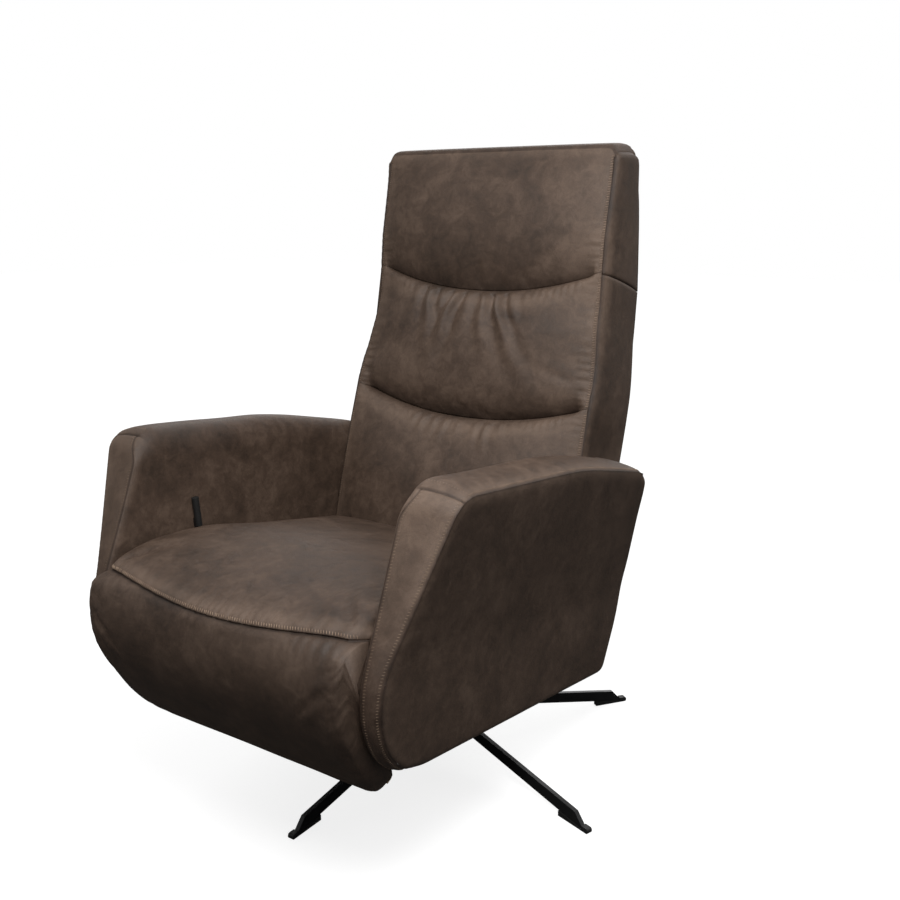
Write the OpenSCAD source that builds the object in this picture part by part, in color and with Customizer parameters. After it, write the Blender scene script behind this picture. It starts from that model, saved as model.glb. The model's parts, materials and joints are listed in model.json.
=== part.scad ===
// Swivel recliner: star base with blade legs, turning carriage with fixed arms,
// sliding seat, swing-up leg rest, reclining back and folding headrest.
// World frame: +Z up, the chair faces -Y, the sitter's right arm is on -X.

/* [Base] */
// Number of blade legs in the star
leg_count = 5; // [4:1:6]
// Distance from the swivel axis to the tip of a leg
leg_reach = 420; // [360:5:480]
// Thickness of a leg blade
blade_t = 8; // [6:0.5:12]
// Height of a leg blade
blade_h = 21; // [16:1:30]
// Height of the blade centre lines where they meet at the swivel axis
leg_root_z = 70; // [62:1:90]
// Height of the blade centre lines at their outer ends
leg_tip_z = 13.1; // [12:0.1:16]
// Length of the glide under a leg end
glide_len = 70; // [50:1:90]
// Width of a glide
glide_w = 11; // [8:0.5:16]
// Height of the nub at the tip of a glide
nub_h = 9; // [7:0.5:12]
// Outer radius of the hub that the legs are welded to
hub_r = 31; // [30:0.5:40]
// Height of the hub
hub_h = 50; // [40:1:60]

/* [Column and swivel] */
// Outer radius of the column tube
column_r = 25; // [22:0.5:28]
// Wall of the column tube
column_wall = 3; // [2:0.5:4]
// Height of the top of the column tube above the floor
column_top_z = 143; // [130:1:160]
// Radius of the swivel spindle
spindle_r = 16; // [12:0.5:18]
// Length of a spindle bush
bush_len = 25; // [15:1:35]
// Thickness of the flange on the upper bush
bush_flange_t = 4; // [2:0.5:6]
// Thickness of the swivel plate
plate_t = 6; // [4:0.5:10]
// Width of the swivel plate
plate_w = 360; // [340:5:400]
// Depth of the swivel plate
plate_d = 200; // [140:5:230]

/* [Carriage] */
// Slope of the seat, arms and carriage, degrees down to the rear
shell_tilt = 8.2; // [4:0.2:12]
// Height of the shell frame's zero point on the swivel axis
shell_z = 165; // [160:1:200]
// Size of the square tubes of the carriage
tube = 30; // [25:1:34]
// Wall of those tubes
tube_wall = 2; // [1.5:0.5:3]
// Height of the tubes' underside in the shell frame
rail_z = 30; // [26:1:40]
// Distance of the lengthwise tubes from the middle
rail_x = 165; // [130:1:170]
// Front end of the lengthwise tubes
rail_front_y = -430; // [-470:5:-400]
// Rear end of the lengthwise tubes
rail_rear_y = 90; // [80:5:100]
// Middle of the front cross tube
cross_front_y = -385; // [-400:5:-340]
// Middle of the rear cross tube
cross_rear_y = 45; // [40:1:50]
// Thickness of the flanges at the ends of the cross tubes
flange_t = 5; // [4:0.5:5]
// Distance of the guide bars inwards from the sides of the back
guide_inset = 15; // [14:1:25]
// Thickness of a guide bar
guide_t = 8; // [6:0.5:10]
// Height of a guide bar
guide_h = 22; // [18:1:24]

/* [Arms] */
// Clearance between an arm and the seat
arm_gap = 6.5; // [6:0.5:15]
// Width of an arm at the top
arm_top_w = 93; // [78:1:118]
// Width of an arm where the flare starts
arm_waist_w = 37; // [34:1:68]
// Width of an arm at the bottom
arm_foot_w = 27; // [26:1:58]
// Height in the shell frame where the arm starts to flare outwards
arm_waist_z = 180; // [120:5:240]
// Height of the outer seam at the front of the arm
arm_front_z = 412; // [380:1:414]
// Height of the arm's underside in the shell frame
arm_foot_z = 8; // [0:1:16]
// Highest point of the arm, front to back
arm_crest_y = -170; // [-260:5:-100]
// Height of the outer seam at that point
arm_crest_z = 428; // [415:1:450]
// Height of the outer seam at the rear end of the arm
arm_rear_z = 405; // [380:1:412]
// Front end of the arm at the top
arm_front_y = -507; // [-530:1:-480]
// Lean of the arm's front edge, degrees forward going down
arm_front_lean = 14.2; // [8:0.2:20]
// Rear end of the arm at the top
arm_rear_y = 104; // [95:1:140]
// Rearmost place of the arm, halfway down
arm_waist_y = 176; // [165:1:200]
// Rear end of the arm at its foot
arm_foot_y = 136; // [120:1:160]
// Thickness of the padding on the top and front of the arm
arm_pad_t = 26; // [18:1:35]
// Rise of the top padding between its seams
arm_crown = 15; // [8:1:24]
// Rise of the front padding between its seams
arm_front_crown = 9; // [4:1:16]
// Thickness of the plywood arm panel
panel_t = 12; // [9:1:15]
// Thickness of the padded inner cover
inner_cover_t = 5.5; // [4:0.5:7]

/* [Seat] */
// Half the width of the seat cushion
seat_half_w = 255.5; // [240:0.5:256]
// Front end of the seat cushion at its middle
seat_front_y = -600; // [-610:1:-570]
// How far the cushion's front corners lie behind its middle
seat_bow = 22; // [10:1:35]
// Rear end of the seat cushion
seat_rear_y = -37; // [-60:1:-36]
// Height of the crown of the seat cushion
seat_crown_z = 264; // [235:1:275]
// Height of the front seam of the seat cushion
seat_seam_z = 196; // [190:1:215]
// Thickness of the seat board
board_t = 12; // [9:1:15]
// How far the seat slides forward
seat_travel = 60; // [30:1:70]
// Radius of the gas spring's cylinder
gas_r = 14; // [11:0.5:15]
// Radius of the gas spring's rod
gas_rod_r = 5; // [4:0.5:6]

/* [Leg rest] */
// Hinge line of the leg rest, front to back
leg_hinge_y = -599; // [-606:1:-594]
// Hinge line of the leg rest, height in the shell frame
leg_hinge_z = 187; // [182:1:191]
// Length of the leg rest below its hinge
leg_rest_len = 270; // [220:1:280]
// Lean of the leg rest's rear face, degrees back going down
leg_rest_lean = 35; // [30:1:40]
// Thickness of the leg rest cushion at its fullest
leg_rest_t = 58; // [44:1:70]
// Thickness of the leg rest board
leg_board_t = 10; // [8:1:15]
// Radius of the leg rest hinge pins
leg_pin_r = 4; // [3:0.5:5]
// Distance of the leg rest hinges from the middle
leg_hinge_x = 205; // [120:1:230]

/* [Back] */
// Lean of the back at rest, degrees
back_lean = 15; // [10:0.5:20]
// Height above the floor where the back's zero line meets the swivel axis
back_z = 400; // [380:1:420]
// Half the width of the back
back_half_w = 250; // [235:1:252]
// Height of the back's lower end along the back
back_low = -58; // [-66:1:-50]
// Height of the lower fold at the sides of the back
fold_2_z = 283; // [240:1:310]
// Height of the upper fold at the sides of the back
fold_1_z = 526; // [490:1:560]
// How far the folds dip in the middle
fold_dip = 45; // [20:1:60]
// Height of the front seam at the top of the back
back_top_z = 738; // [700:1:780]
// Height of the rear edge at the top of the back
back_peak_z = 770; // [740:1:800]
// Depth of the back at the top
back_top_d = 90; // [70:1:120]
// Depth of the back at the headrest joint
back_mid_d = 187; // [170:1:200]
// Depth of the back at its fullest
back_deep_d = 210; // [195:1:230]
// Place of the back cushions' rear faces
back_board_y = 86; // [70:1:95]
// Thickness of the back board
back_board_t = 12; // [9:1:15]
// Thickness of the rear cover
rear_cover_t = 14; // [8:1:20]
// Thickness of the side panels
side_panel_t = 4; // [3:0.5:6]
// Width of the gap that the folds leave between cushions
fold_gap = 4; // [2:0.5:8]
// Back pivot, front to back in the shell frame
pivot_y = 98; // [94:1:104]
// Back pivot, height in the shell frame
pivot_z = 196; // [190:1:202]
// Radius of the back pivot pins
pivot_r = 6; // [5:0.5:8]
// Thickness of the hinge plates
hinge_t = 5; // [4:0.5:5]

/* [Headrest] */
// Headrest hinge, depth behind the back's zero line
head_hinge_y = 44; // [40:1:50]
// Headrest hinge, height along the back
head_hinge_z = 487; // [482:1:492]
// Radius of the headrest hinge pins
head_pin_r = 5; // [4:0.5:6]
// Distance of the headrest hinges from the middle
head_hinge_x = 100; // [70:1:115]

/* [Release lever] */
// Lever pivot, front to back in the shell frame
lever_y = -367; // [-390:1:-350]
// Lever pivot, height in the shell frame
lever_z = 165; // [160:1:180]
// Length of the lever above its pivot
lever_len = 147; // [120:1:160]
// Width of the lever bar
lever_w = 11; // [9:0.5:14]
// Radius of the lever's grip
grip_r = 6; // [5:0.5:6]
// Forward lean of the lever in the shell frame, degrees
lever_lean = 14; // [4:1:20]

/* [Fits] */
// Running clearance on a pin or spindle, on the radius
run_fit = 0.05; // [0.03:0.01:0.1]
// Gap between pieces that lie on each other
seat_gap = 0.3; // [0.2:0.1:0.5]
// Gap between soft pieces on different bodies
soft_gap = 2; // [1:0.5:3]

/* [Hidden] */
// Place of the swivel axis in front-to-back direction, so that zero is the middle of the footprint
swivel_y = 125;
$fn = 48;

leather = [0.33, 0.28, 0.25];
black_steel = [0.08, 0.08, 0.08];
bright_steel = [0.7, 0.7, 0.72];
plywood = [0.72, 0.58, 0.4];
nylon = [0.15, 0.15, 0.15];

// Angles of the legs about the swivel axis, the first one straight forward
function leg_angle(k) = -90 + 360 / leg_count * (k - 1);

// Places that follow from the sizes above
bush_in_r = spindle_r + run_fit;
column_bottom_z = leg_root_z - hub_h / 2;
plate_z = column_top_z + bush_flange_t + seat_gap;
cross_z = rail_z + tube;
guide_z = cross_z + tube;
glider_top_z = guide_z + guide_h + 12;
seat_board_z = glider_top_z;
seat_bottom_z = seat_board_z + board_t + seat_gap;
pivot_space = 5.5;
arm_in_x = max(seat_half_w, back_half_w + pivot_space) + arm_gap;
arm_top_x = arm_in_x + arm_top_w;
arm_waist_x = arm_in_x + arm_waist_w;
arm_foot_x = arm_in_x + arm_foot_w;
guide_x = back_half_w - guide_inset;
flange_x = arm_in_x - seat_gap;
arm_panel_x = arm_in_x + inner_cover_t + seat_gap;
arm_fill_x = arm_panel_x + panel_t + seat_gap;
hinge_plate_x = back_half_w - side_panel_t - seat_gap - hinge_t;
back_board_w = hinge_plate_x - seat_gap;
pivot_bracket_x = back_half_w + 1;
lever_x = arm_in_x - 5.2;
lever_t = 4.4;
lever_pin_r = 4;

// World point of a shell frame point, as [y, z]
function shell_to_world(y, z) = [
    y * cos(shell_tilt) + z * sin(shell_tilt),
    shell_z - y * sin(shell_tilt) + z * cos(shell_tilt)
];
// Back frame point of a shell frame point, as [y, z]
function shell_to_back(y, z) = let(w = shell_to_world(y, z)) [
    w[0] * cos(back_lean) - (w[1] - back_z) * sin(back_lean),
    w[0] * sin(back_lean) + (w[1] - back_z) * cos(back_lean)
];
pivot_back = shell_to_back(pivot_y, pivot_z);

// Places a piece whose own zero is the swivel axis on the floor
module on_floor() { translate([0, swivel_y, 0]) children(); }
// Places a piece drawn in the tilted shell frame
module in_shell() { on_floor() translate([0, 0, shell_z]) rotate([-shell_tilt, 0, 0]) children(); }
// Places a piece drawn in the leaning back frame
module in_back() { on_floor() translate([0, 0, back_z]) rotate([-back_lean, 0, 0]) children(); }
// Places a piece drawn in the leg rest's frame, with its zero on the hinge line
module in_leg_rest() {
    in_shell() translate([0, leg_hinge_y, leg_hinge_z]) rotate([leg_rest_lean, 0, 0]) children();
}
// Extrudes a front-to-back outline from x0 to x1
module side_plate(x0, x1) {
    translate([x0, 0, 0]) rotate([90, 0, 90]) linear_extrude(x1 - x0) children();
}
// Mirrors a piece to the side that is asked for, +1 for +X and -1 for -X
module on_side(side) { mirror([side < 0 ? 1 : 0, 0, 0]) children(); }
// A bar along X
module bar_x(x0, x1, y, z, r) { translate([x0, y, z]) rotate([0, 90, 0]) cylinder(r = r, h = x1 - x0); }

// Unit normal that points out of an outline drawn anticlockwise
function edge_normal(a, b) = let(d = [b[0] - a[0], b[1] - a[1]], l = norm(d)) [d[1] / l, -d[0] / l];
// Rounded outline: each corner is [y, z, radius], its arc has the given number of steps, 0 is sharp
function rounded(pts, steps = 8) = let(n = len(pts)) [
    for (i = [0 : n - 1])
        let(
            at = pts[i],
            n1 = edge_normal(pts[(i + n - 1) % n], at), n2 = edge_normal(at, pts[(i + 1) % n]),
            bend = n1[0] * n2[1] - n1[1] * n2[0] < 0 ? -1 : 1,
            turn = bend * acos(min(1, n1[0] * n2[0] + n1[1] * n2[1])),
            k = bend * at[2] / (1 + n1[0] * n2[0] + n1[1] * n2[1]),
            centre = [at[0] - k * (n1[0] + n2[0]), at[1] - k * (n1[1] + n2[1])],
            start = atan2(bend * n1[1], bend * n1[0])
        )
        for (s = [0 : at[2] > 0 ? steps : 0])
            let(a = start + turn * s / steps)
            at[2] > 0 ? [centre[0] + at[2] * cos(a), centre[1] + at[2] * sin(a)] : [at[0], at[1]]
];

// Closed solid through rings of points that run along +X, each ring anticlockwise seen from +X
module loft(rings) {
    n = len(rings);
    m = len(rings[0]);
    function middle(ring) = [for (k = [0 : 2]) [for (p = ring) 1] * [for (p = ring) p[k]] / m];
    points = concat([for (ring = rings) each ring], [middle(rings[0]), middle(rings[n - 1])]);
    first = n * m;
    faces = concat(
        [for (i = [0 : n - 2], j = [0 : m - 1])
            let(a = i * m + j, b = i * m + (j + 1) % m) each [[a, a + m, b + m], [a, b + m, b]]],
        [for (j = [0 : m - 1]) [first, j, (j + 1) % m]],
        [for (j = [0 : m - 1]) [first + 1, (n - 1) * m + (j + 1) % m, (n - 1) * m + j]]
    );
    polyhedron(points = points, faces = faces, convexity = 6);
}
// Signed power, which squares off a circle
function squared(v, e) = sign(v) * pow(abs(v), e);
// Stations across a cushion from -1 to 1, closer together near the ends
function stations(n) = [for (i = [0 : n]) 0.996 * sin(-90 + 180 * i / n)];
// How full a cushion still is at a station
function fullness(t, e) = pow(1 - pow(abs(t), e), 1 / e);

// Star base
module base_hub() {
    color(black_steel) on_floor() difference() {
        translate([0, 0, column_bottom_z]) cylinder(r = hub_r, h = hub_h);
        translate([0, 0, column_bottom_z - 1]) cylinder(r = column_r, h = hub_h + 2);
    }
}
module column_tube() {
    color(black_steel) on_floor() difference() {
        translate([0, 0, column_bottom_z]) cylinder(r = column_r, h = column_top_z - column_bottom_z);
        translate([0, 0, column_bottom_z - 1])
            cylinder(r = column_r - column_wall, h = column_top_z - column_bottom_z + 2);
    }
}
module lower_bush() {
    color(nylon) on_floor() difference() {
        translate([0, 0, column_bottom_z]) cylinder(r = column_r - column_wall, h = bush_len);
        translate([0, 0, column_bottom_z - 1]) cylinder(r = bush_in_r, h = bush_len + 2);
    }
}
module upper_bush() {
    color(nylon) on_floor() difference() {
        union() {
            translate([0, 0, column_top_z - bush_len])
                cylinder(r = column_r - column_wall, h = bush_len);
            translate([0, 0, column_top_z]) cylinder(r = column_r, h = bush_flange_t);
        }
        translate([0, 0, column_top_z - bush_len - 1])
            cylinder(r = bush_in_r, h = bush_len + bush_flange_t + 2);
    }
}
// Height of a blade's centre line, and of its lower and upper edge, at a radius
function blade_z(r) = leg_root_z - r * tan(leg_slope);
function blade_low(r) = blade_z(r) - blade_h / 2 / cos(leg_slope);
function blade_high(r) = blade_z(r) + blade_h / 2 / cos(leg_slope);
nub_len = 15;
blade_end = leg_reach - nub_len;
leg_slope = atan((leg_root_z - leg_tip_z) / blade_end);
blade_chamfer = 17;
module leg(k) {
    color(black_steel) on_floor() rotate([0, 0, leg_angle(k)]) difference() {
        translate([0, blade_t / 2, 0]) rotate([90, 0, 0]) linear_extrude(blade_t) polygon([
            [hub_r - 4, blade_low(hub_r - 4)], [blade_end, blade_low(blade_end)],
            [blade_end, blade_low(blade_end) + 5],
            [blade_end - blade_chamfer, blade_high(blade_end - blade_chamfer)],
            [hub_r - 4, blade_high(hub_r - 4)]
        ]);
        cylinder(r = hub_r, h = 3 * leg_root_z);
    }
}
module floor_glides() {
    back = leg_reach - glide_len;
    inner = blade_end + seat_gap;
    color(nylon) on_floor() for (k = [1 : leg_count]) rotate([0, 0, leg_angle(k)])
        translate([0, glide_w / 2, 0]) rotate([90, 0, 0]) linear_extrude(glide_w) polygon(rounded([
            [back, 0, 0], [leg_reach, 0, 3], [leg_reach, nub_h, 4], [inner, nub_h, 0],
            [inner, blade_low(blade_end) - seat_gap, 0], [back, blade_low(back) - seat_gap, 0]
        ], 5));
}

// Carriage
module swivel_spindle() {
    color(black_steel) on_floor() {
        translate([0, 0, column_bottom_z]) cylinder(r = spindle_r, h = plate_z - column_bottom_z + 1);
        translate([-plate_w / 2, -plate_d / 2, plate_z]) cube([plate_w, plate_d, plate_t]);
    }
}
module tilt_bracket(side) {
    y_front = -plate_d / 2 + 8;
    y_rear = plate_d / 2 - 8;
    low = plate_z + plate_t;
    // The sloping top edge meets the lengthwise tube's underside
    function slope_z(y) = shell_z + rail_z / cos(shell_tilt) - y * tan(shell_tilt);
    color(black_steel) on_floor() side_plate(side * rail_x - 6, side * rail_x + 6)
        polygon([[y_front, low], [y_rear, low], [y_rear, slope_z(y_rear)], [y_front, slope_z(y_front)]]);
}
module square_tube(length) {
    difference() {
        cube([tube, length, tube]);
        translate([tube_wall, -1, tube_wall]) cube([tube - 2 * tube_wall, length + 2, tube - 2 * tube_wall]);
    }
}
module rail(side) {
    color(black_steel) in_shell() translate([side * rail_x - tube / 2, rail_front_y, rail_z])
        square_tube(rail_rear_y - rail_front_y);
}
// Height of the arm bolts in the shell frame and their spread
bolt_r = 4;
bolt_z = cross_z + tube / 2;
bolt_dy = 24;
flange_d = 70;
module cross_tube(y) {
    tube_end = flange_x - flange_t;
    color(black_steel) in_shell() {
        translate([tube_end, y - tube / 2, cross_z]) rotate([0, 0, 90]) square_tube(2 * tube_end);
        for (side = [-1, 1]) on_side(side) difference() {
            translate([tube_end, y - flange_d / 2, cross_z]) cube([flange_t, flange_d, tube]);
            for (s = [-1, 1]) bar_x(tube_end - 1, flange_x + 1, y + s * bolt_dy, bolt_z, bolt_r);
        }
    }
}
module guide_bar(side) {
    color(bright_steel) in_shell() translate([side * guide_x - guide_t / 2, cross_front_y - tube / 2, guide_z])
        cube([guide_t, cross_rear_y - cross_front_y + tube, guide_h]);
}
module pivot_bracket(side) {
    x0 = pivot_bracket_x;
    color(black_steel) in_shell() on_side(side) difference() {
        side_plate(x0, x0 + hinge_t) polygon(rounded([
            [cross_rear_y - 14, guide_z, 3], [cross_rear_y + 26, guide_z, 3],
            [pivot_y + 17, pivot_z - 8, 12], [pivot_y + 17, pivot_z + 17, 16],
            [pivot_y - 17, pivot_z + 17, 16]
        ]));
        bar_x(x0 - 1, x0 + hinge_t + 1, pivot_y, pivot_z, pivot_r);
    }
}
module back_pivot_pins() {
    color(bright_steel) in_shell() for (side = [-1, 1]) on_side(side)
        bar_x(hinge_plate_x, pivot_bracket_x + hinge_t, pivot_y, pivot_z, pivot_r);
}
module gas_spring_cylinder() {
    color(black_steel) in_shell() difference() {
        union() {
            translate([0, gas_tail_y, gas_z]) rotate([90, 0, 0]) cylinder(r = gas_r, h = gas_len);
            translate([-gas_eye_t / 2, gas_tail_y - 1, guide_z]) cube([gas_eye_t, 12, gas_z - guide_z + gas_eye_t]);
        }
        translate([0, gas_tail_y - 15, gas_z]) rotate([90, 0, 0])
            cylinder(r = gas_r - 3, h = gas_len - 25);
        translate([0, gas_tail_y - gas_len + 11, gas_z]) rotate([90, 0, 0])
            cylinder(r = gas_rod_r + run_fit, h = 12);
    }
}
gas_z = guide_z + gas_r + 1;
gas_tail_y = cross_rear_y - 6;
gas_len = 160;
gas_eye_t = 10;
gas_front_y = -230;

// Arms: corners of the side outline in the shell frame as [y, z, radius], anticlockwise from below
arm_corners = [
    [arm_front_y - (arm_front_z - arm_foot_z) * tan(arm_front_lean), arm_foot_z, 135],
    [arm_foot_y, arm_foot_z, 25],
    [arm_waist_y, arm_waist_z - 15, 300],
    [arm_rear_y, arm_rear_z, 30],
    [arm_crest_y, arm_crest_z, 900],
    [arm_front_y, arm_front_z, 42]
];
// The outline with seven points at each corner, and its outward direction at a point
arm_line = rounded(arm_corners, 6);
arm_points = len(arm_line);
function line_out(i) =
    edge_normal(arm_line[(i + arm_points - 1) % arm_points], arm_line[(i + 1) % arm_points]);
function line_along(i) = let(out = line_out(i)) [-out[1], out[0]];
// The padding runs from the rear top corner over the top and down the front, thinner under the foot
pad_start = 23;
pad_corner = 38;
pad_end = 6;
function pad_depth(i) = i > pad_end ? arm_pad_t : arm_pad_t * (1 - 0.7 * i / pad_end);
function under_pad(i, over) = arm_line[i] - (pad_depth(i) + seat_gap - over) * line_out(i);
// Outline inside the padding: edge is its distance from the bare edges, over how far it enters the padding
function arm_outline(edge, over) = let(shift = seat_gap - over) concat(
    [arm_line[pad_end] - edge * line_out(pad_end) + shift * line_along(pad_end)],
    [for (i = [pad_end + 1 : pad_start - 1]) arm_line[i] - edge * line_out(i)],
    [arm_line[pad_start] - edge * line_out(pad_start) - shift * line_along(pad_start)],
    [under_pad(pad_start, over) - shift * line_along(pad_start)],
    [for (i = [pad_start + 1 : arm_points - 1]) under_pad(i, over)],
    [for (i = [0 : pad_end - 1]) under_pad(i, over)],
    [under_pad(pad_end, over) + shift * line_along(pad_end)]
);
// Distance of the outer face from the middle at a height in the shell frame
function arm_out_x(z) = z < arm_waist_z
    ? arm_foot_x + (arm_waist_x - arm_foot_x) * max(z, 0) / arm_waist_z
    : arm_waist_x + (arm_top_x - arm_waist_x) * (z - arm_waist_z) / (arm_front_z - arm_waist_z);
panel_edge = 6;
module arm_bolt_holes(x0, x1, r) {
    for (y = [cross_front_y, cross_rear_y], s = [-1, 1]) bar_x(x0, x1, y + s * bolt_dy, bolt_z, r);
}
module arm_panel(side) {
    color(plywood) in_shell() on_side(side) difference() {
        side_plate(arm_panel_x, arm_panel_x + panel_t) polygon(arm_outline(panel_edge, 0));
        arm_bolt_holes(arm_panel_x - 1, arm_panel_x + panel_t + 1, bolt_r);
        if (side < 0) bar_x(arm_panel_x - 1, arm_panel_x + panel_t + 1, lever_y, lever_z, lever_pin_r);
    }
}
module arm_inner_cover(side) {
    color(leather) in_shell() on_side(side) difference() {
        side_plate(arm_in_x, arm_in_x + inner_cover_t) polygon(arm_outline(0, 0));
        arm_bolt_holes(arm_in_x - 1, arm_in_x + inner_cover_t + 1, bolt_r);
        if (side < 0) bar_x(arm_in_x - 1, arm_in_x + inner_cover_t + 1, lever_y, lever_z, lever_pin_r);
    }
}
// The outer cover wraps the bare edges of the panel, is thin at the foot and fills the flare at the top
module arm_outer_cover(side) {
    cut_len = 2 * (arm_waist_y - arm_front_y);
    color(leather) in_shell() on_side(side) difference() {
        intersection() {
            side_plate(arm_panel_x, arm_top_x + 20) polygon(arm_outline(0, 0));
            translate([0, cut_len / 2, 0]) rotate([90, 0, 0]) linear_extrude(cut_len) polygon([
                [arm_panel_x, -10], [arm_foot_x, -10], [arm_foot_x, 0], [arm_waist_x, arm_waist_z],
                [arm_out_x(arm_crest_z), arm_crest_z], [arm_panel_x, arm_crest_z]
            ]);
        }
        side_plate(arm_panel_x - 1, arm_fill_x) polygon(arm_outline(panel_edge - seat_gap, 2));
        arm_bolt_holes(arm_fill_x - 1, arm_fill_x + 5, bolt_r + 5);
    }
}
// Ring across the padding at a point of the outline, crowned between its two seams
function pad_ring(i, steps = 7) =
    let(
        at = arm_line[i], out = line_out(i), low = at - pad_depth(i) * out,
        xo = arm_out_x(at[1]), mid = (arm_in_x + xo) / 2, half = (xo - arm_in_x) / 2,
        blend = i < pad_start ? 1 : min(max((i - pad_corner + 3) / 6, 0), 1),
        rise = arm_crown + (arm_front_crown - arm_crown) * blend
    )
    concat(
        [[arm_in_x, low[0], low[1]], [arm_out_x(low[1]), low[0], low[1]]],
        [for (s = [0 : steps])
            let(u = 1 - 2 * s / steps, h = rise * (1 - pow(abs(u), 2.6)))
            [mid + half * u, at[0] + h * out[0], at[1] + h * out[1]]]
    );
module arm_pad(side, list) {
    color(leather) in_shell() on_side(side) loft([for (i = list) pad_ring(i)]);
}
module arm_top_pad(side) { arm_pad(side, [pad_start : pad_corner]); }
module arm_front_pad(side) {
    arm_pad(side, concat([for (i = [pad_corner : arm_points - 1]) i], [for (i = [0 : pad_end]) i]));
}
module arm_bolts() {
    color(bright_steel) in_shell() for (side = [-1, 1]) on_side(side) {
        arm_bolt_holes(flange_x - flange_t, arm_fill_x + 4, bolt_r);
        arm_bolt_holes(flange_x - flange_t - 4, flange_x - flange_t, bolt_r + 3);
        arm_bolt_holes(arm_panel_x + panel_t, arm_fill_x + 4, bolt_r + 4);
    }
}
module lever_pin() {
    color(bright_steel) in_shell() bar_x(-arm_panel_x - panel_t, -lever_x, lever_y, lever_z, lever_pin_r);
}

// Seat
// The leg rest's rear face: the seat stays behind this line, which slopes down and back from the hinge
function nose_y(z) = leg_hinge_y + (leg_hinge_z - z) * tan(leg_rest_lean) + soft_gap / cos(leg_rest_lean);
seat_board_front_y = nose_y(seat_board_z) + 10;
module seat_board() {
    color(plywood) in_shell() translate([-seat_half_w + 4, seat_board_front_y, seat_board_z])
        cube([2 * (seat_half_w - 4), seat_rear_y - 8 - seat_board_front_y, board_t]);
}
glider_len = 44;
glider_gap = 0.4;
glider_w = 22;
glider_front_y = -335;
glider_rear_y = -110;
module seat_gliders() {
    slot = guide_t / 2 + glider_gap;
    color(nylon) in_shell() for (side = [-1, 1], y = [glider_front_y, glider_rear_y]) on_side(side) difference() {
        translate([guide_x - glider_w / 2, y, guide_z + 8])
            cube([glider_w, glider_len, glider_top_z - guide_z - 8]);
        translate([guide_x - slot, y - 1, guide_z]) cube([2 * slot, glider_len + 2, guide_h + seat_gap]);
    }
}
// Seat cushion: rings front to back with a crown, and a front that bows forward in the middle
seat_rim_h = 26;
function seat_top(t, depth) =
    let(
        swell = 1 - pow(abs(2 * min(max(depth * 0.93 + 0.04, 0), 1) - 1), 3.2),
        crown = (seat_crown_z - seat_seam_z - seat_rim_h) * (1 - 0.3 * pow(abs(t), 3))
    )
    seat_seam_z + (seat_rim_h + crown) * swell + 16 * depth * (1 - swell);
function seat_ring(t, steps) = [
    for (j = [0 : steps - 1])
        let(
            a = 360 * j / steps, k = fullness(t, 16),
            c = squared(cos(a), 0.42), s = squared(sin(a), 0.42),
            front = seat_front_y + seat_bow * t * t,
            y = (front + seat_rear_y) / 2 + (seat_rear_y - front) / 2 * c,
            high = seat_top(t, (y - front) / (seat_rear_y - front)) - seat_bottom_z,
            z = seat_bottom_z + high * (s > 0 ? 0.35 + 0.65 * s * k : 0.35 * (1 + s)),
            back = max(0, nose_y(z) - front) * max(0, 1 - (y - front) / 260)
        )
        [seat_half_w * t, y + back, z]
];
bracket_t = 4;
slot_side = 2;
slot_w = 2 * bracket_t + 1 + 2 * slot_side;
slot_len = 170;
ear_len = 150;
// Each slot in the nose holds a hinge bracket and the leg rest's ear
module seat_cushion() {
    color(leather) in_shell() difference() {
        loft([for (t = stations(16)) seat_ring(t, 36)]);
        for (side = [-1, 1]) on_side(side)
            translate([leg_hinge_x - slot_side, seat_front_y - 20, seat_bottom_z - 20])
                cube([slot_w, slot_len, leg_hinge_z + 12 - seat_bottom_z + 20]);
    }
}
module leg_rest_brackets() {
    foot = seat_board_z + board_t;
    front = nose_y(foot);
    color(black_steel) in_shell() for (side = [-1, 1]) on_side(side) {
        side_plate(leg_hinge_x, leg_hinge_x + bracket_t) polygon(rounded([
            [front + 16, foot, 0], [front + 100, foot, 0], [front + 100, foot + 12, 6],
            [leg_hinge_y + 9, leg_hinge_z + 8, 8], [leg_hinge_y - 8, leg_hinge_z + 8, 7],
            [leg_hinge_y - 8, leg_hinge_z - 8, 7], [leg_hinge_y + 9, leg_hinge_z - 8, 0]
        ]));
        bar_x(leg_hinge_x, leg_hinge_x + 2 * bracket_t + 1, leg_hinge_y, leg_hinge_z, leg_pin_r);
    }
}
module gas_spring_rod() {
    rod_end = gas_tail_y - gas_len + 10 + seat_travel + 20;
    color(bright_steel) in_shell() {
        translate([0, rod_end, gas_z]) rotate([90, 0, 0])
            cylinder(r = gas_rod_r, h = rod_end - gas_front_y);
        translate([-gas_eye_t / 2, gas_front_y - 12, gas_z - gas_rod_r])
            cube([gas_eye_t, 13, seat_board_z - gas_z + gas_rod_r]);
    }
}

// Leg rest: in its own frame y is forward of the rear face when negative, and z runs down the leg
module leg_rest_board() {
    color(plywood) in_leg_rest() translate([-seat_half_w + 20, -leg_board_t, -leg_rest_len + 14])
        cube([2 * (seat_half_w - 20), leg_board_t, leg_rest_len - 40]);
}
module leg_rest_ears() {
    x0 = leg_hinge_x + bracket_t + 1;
    color(black_steel) in_leg_rest() for (side = [-1, 1]) on_side(side) difference() {
        side_plate(x0, x0 + bracket_t) polygon(rounded([
            [0, -ear_len, 0], [8, 10 - ear_len, 4], [9, 0, 8], [0, 9, 8], [-9, 0, 8], [-6, -24, 0], [0, -25, 0]
        ]));
        bar_x(x0 - 1, x0 + bracket_t + 1, 0, 0, leg_pin_r + run_fit);
    }
}
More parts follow.
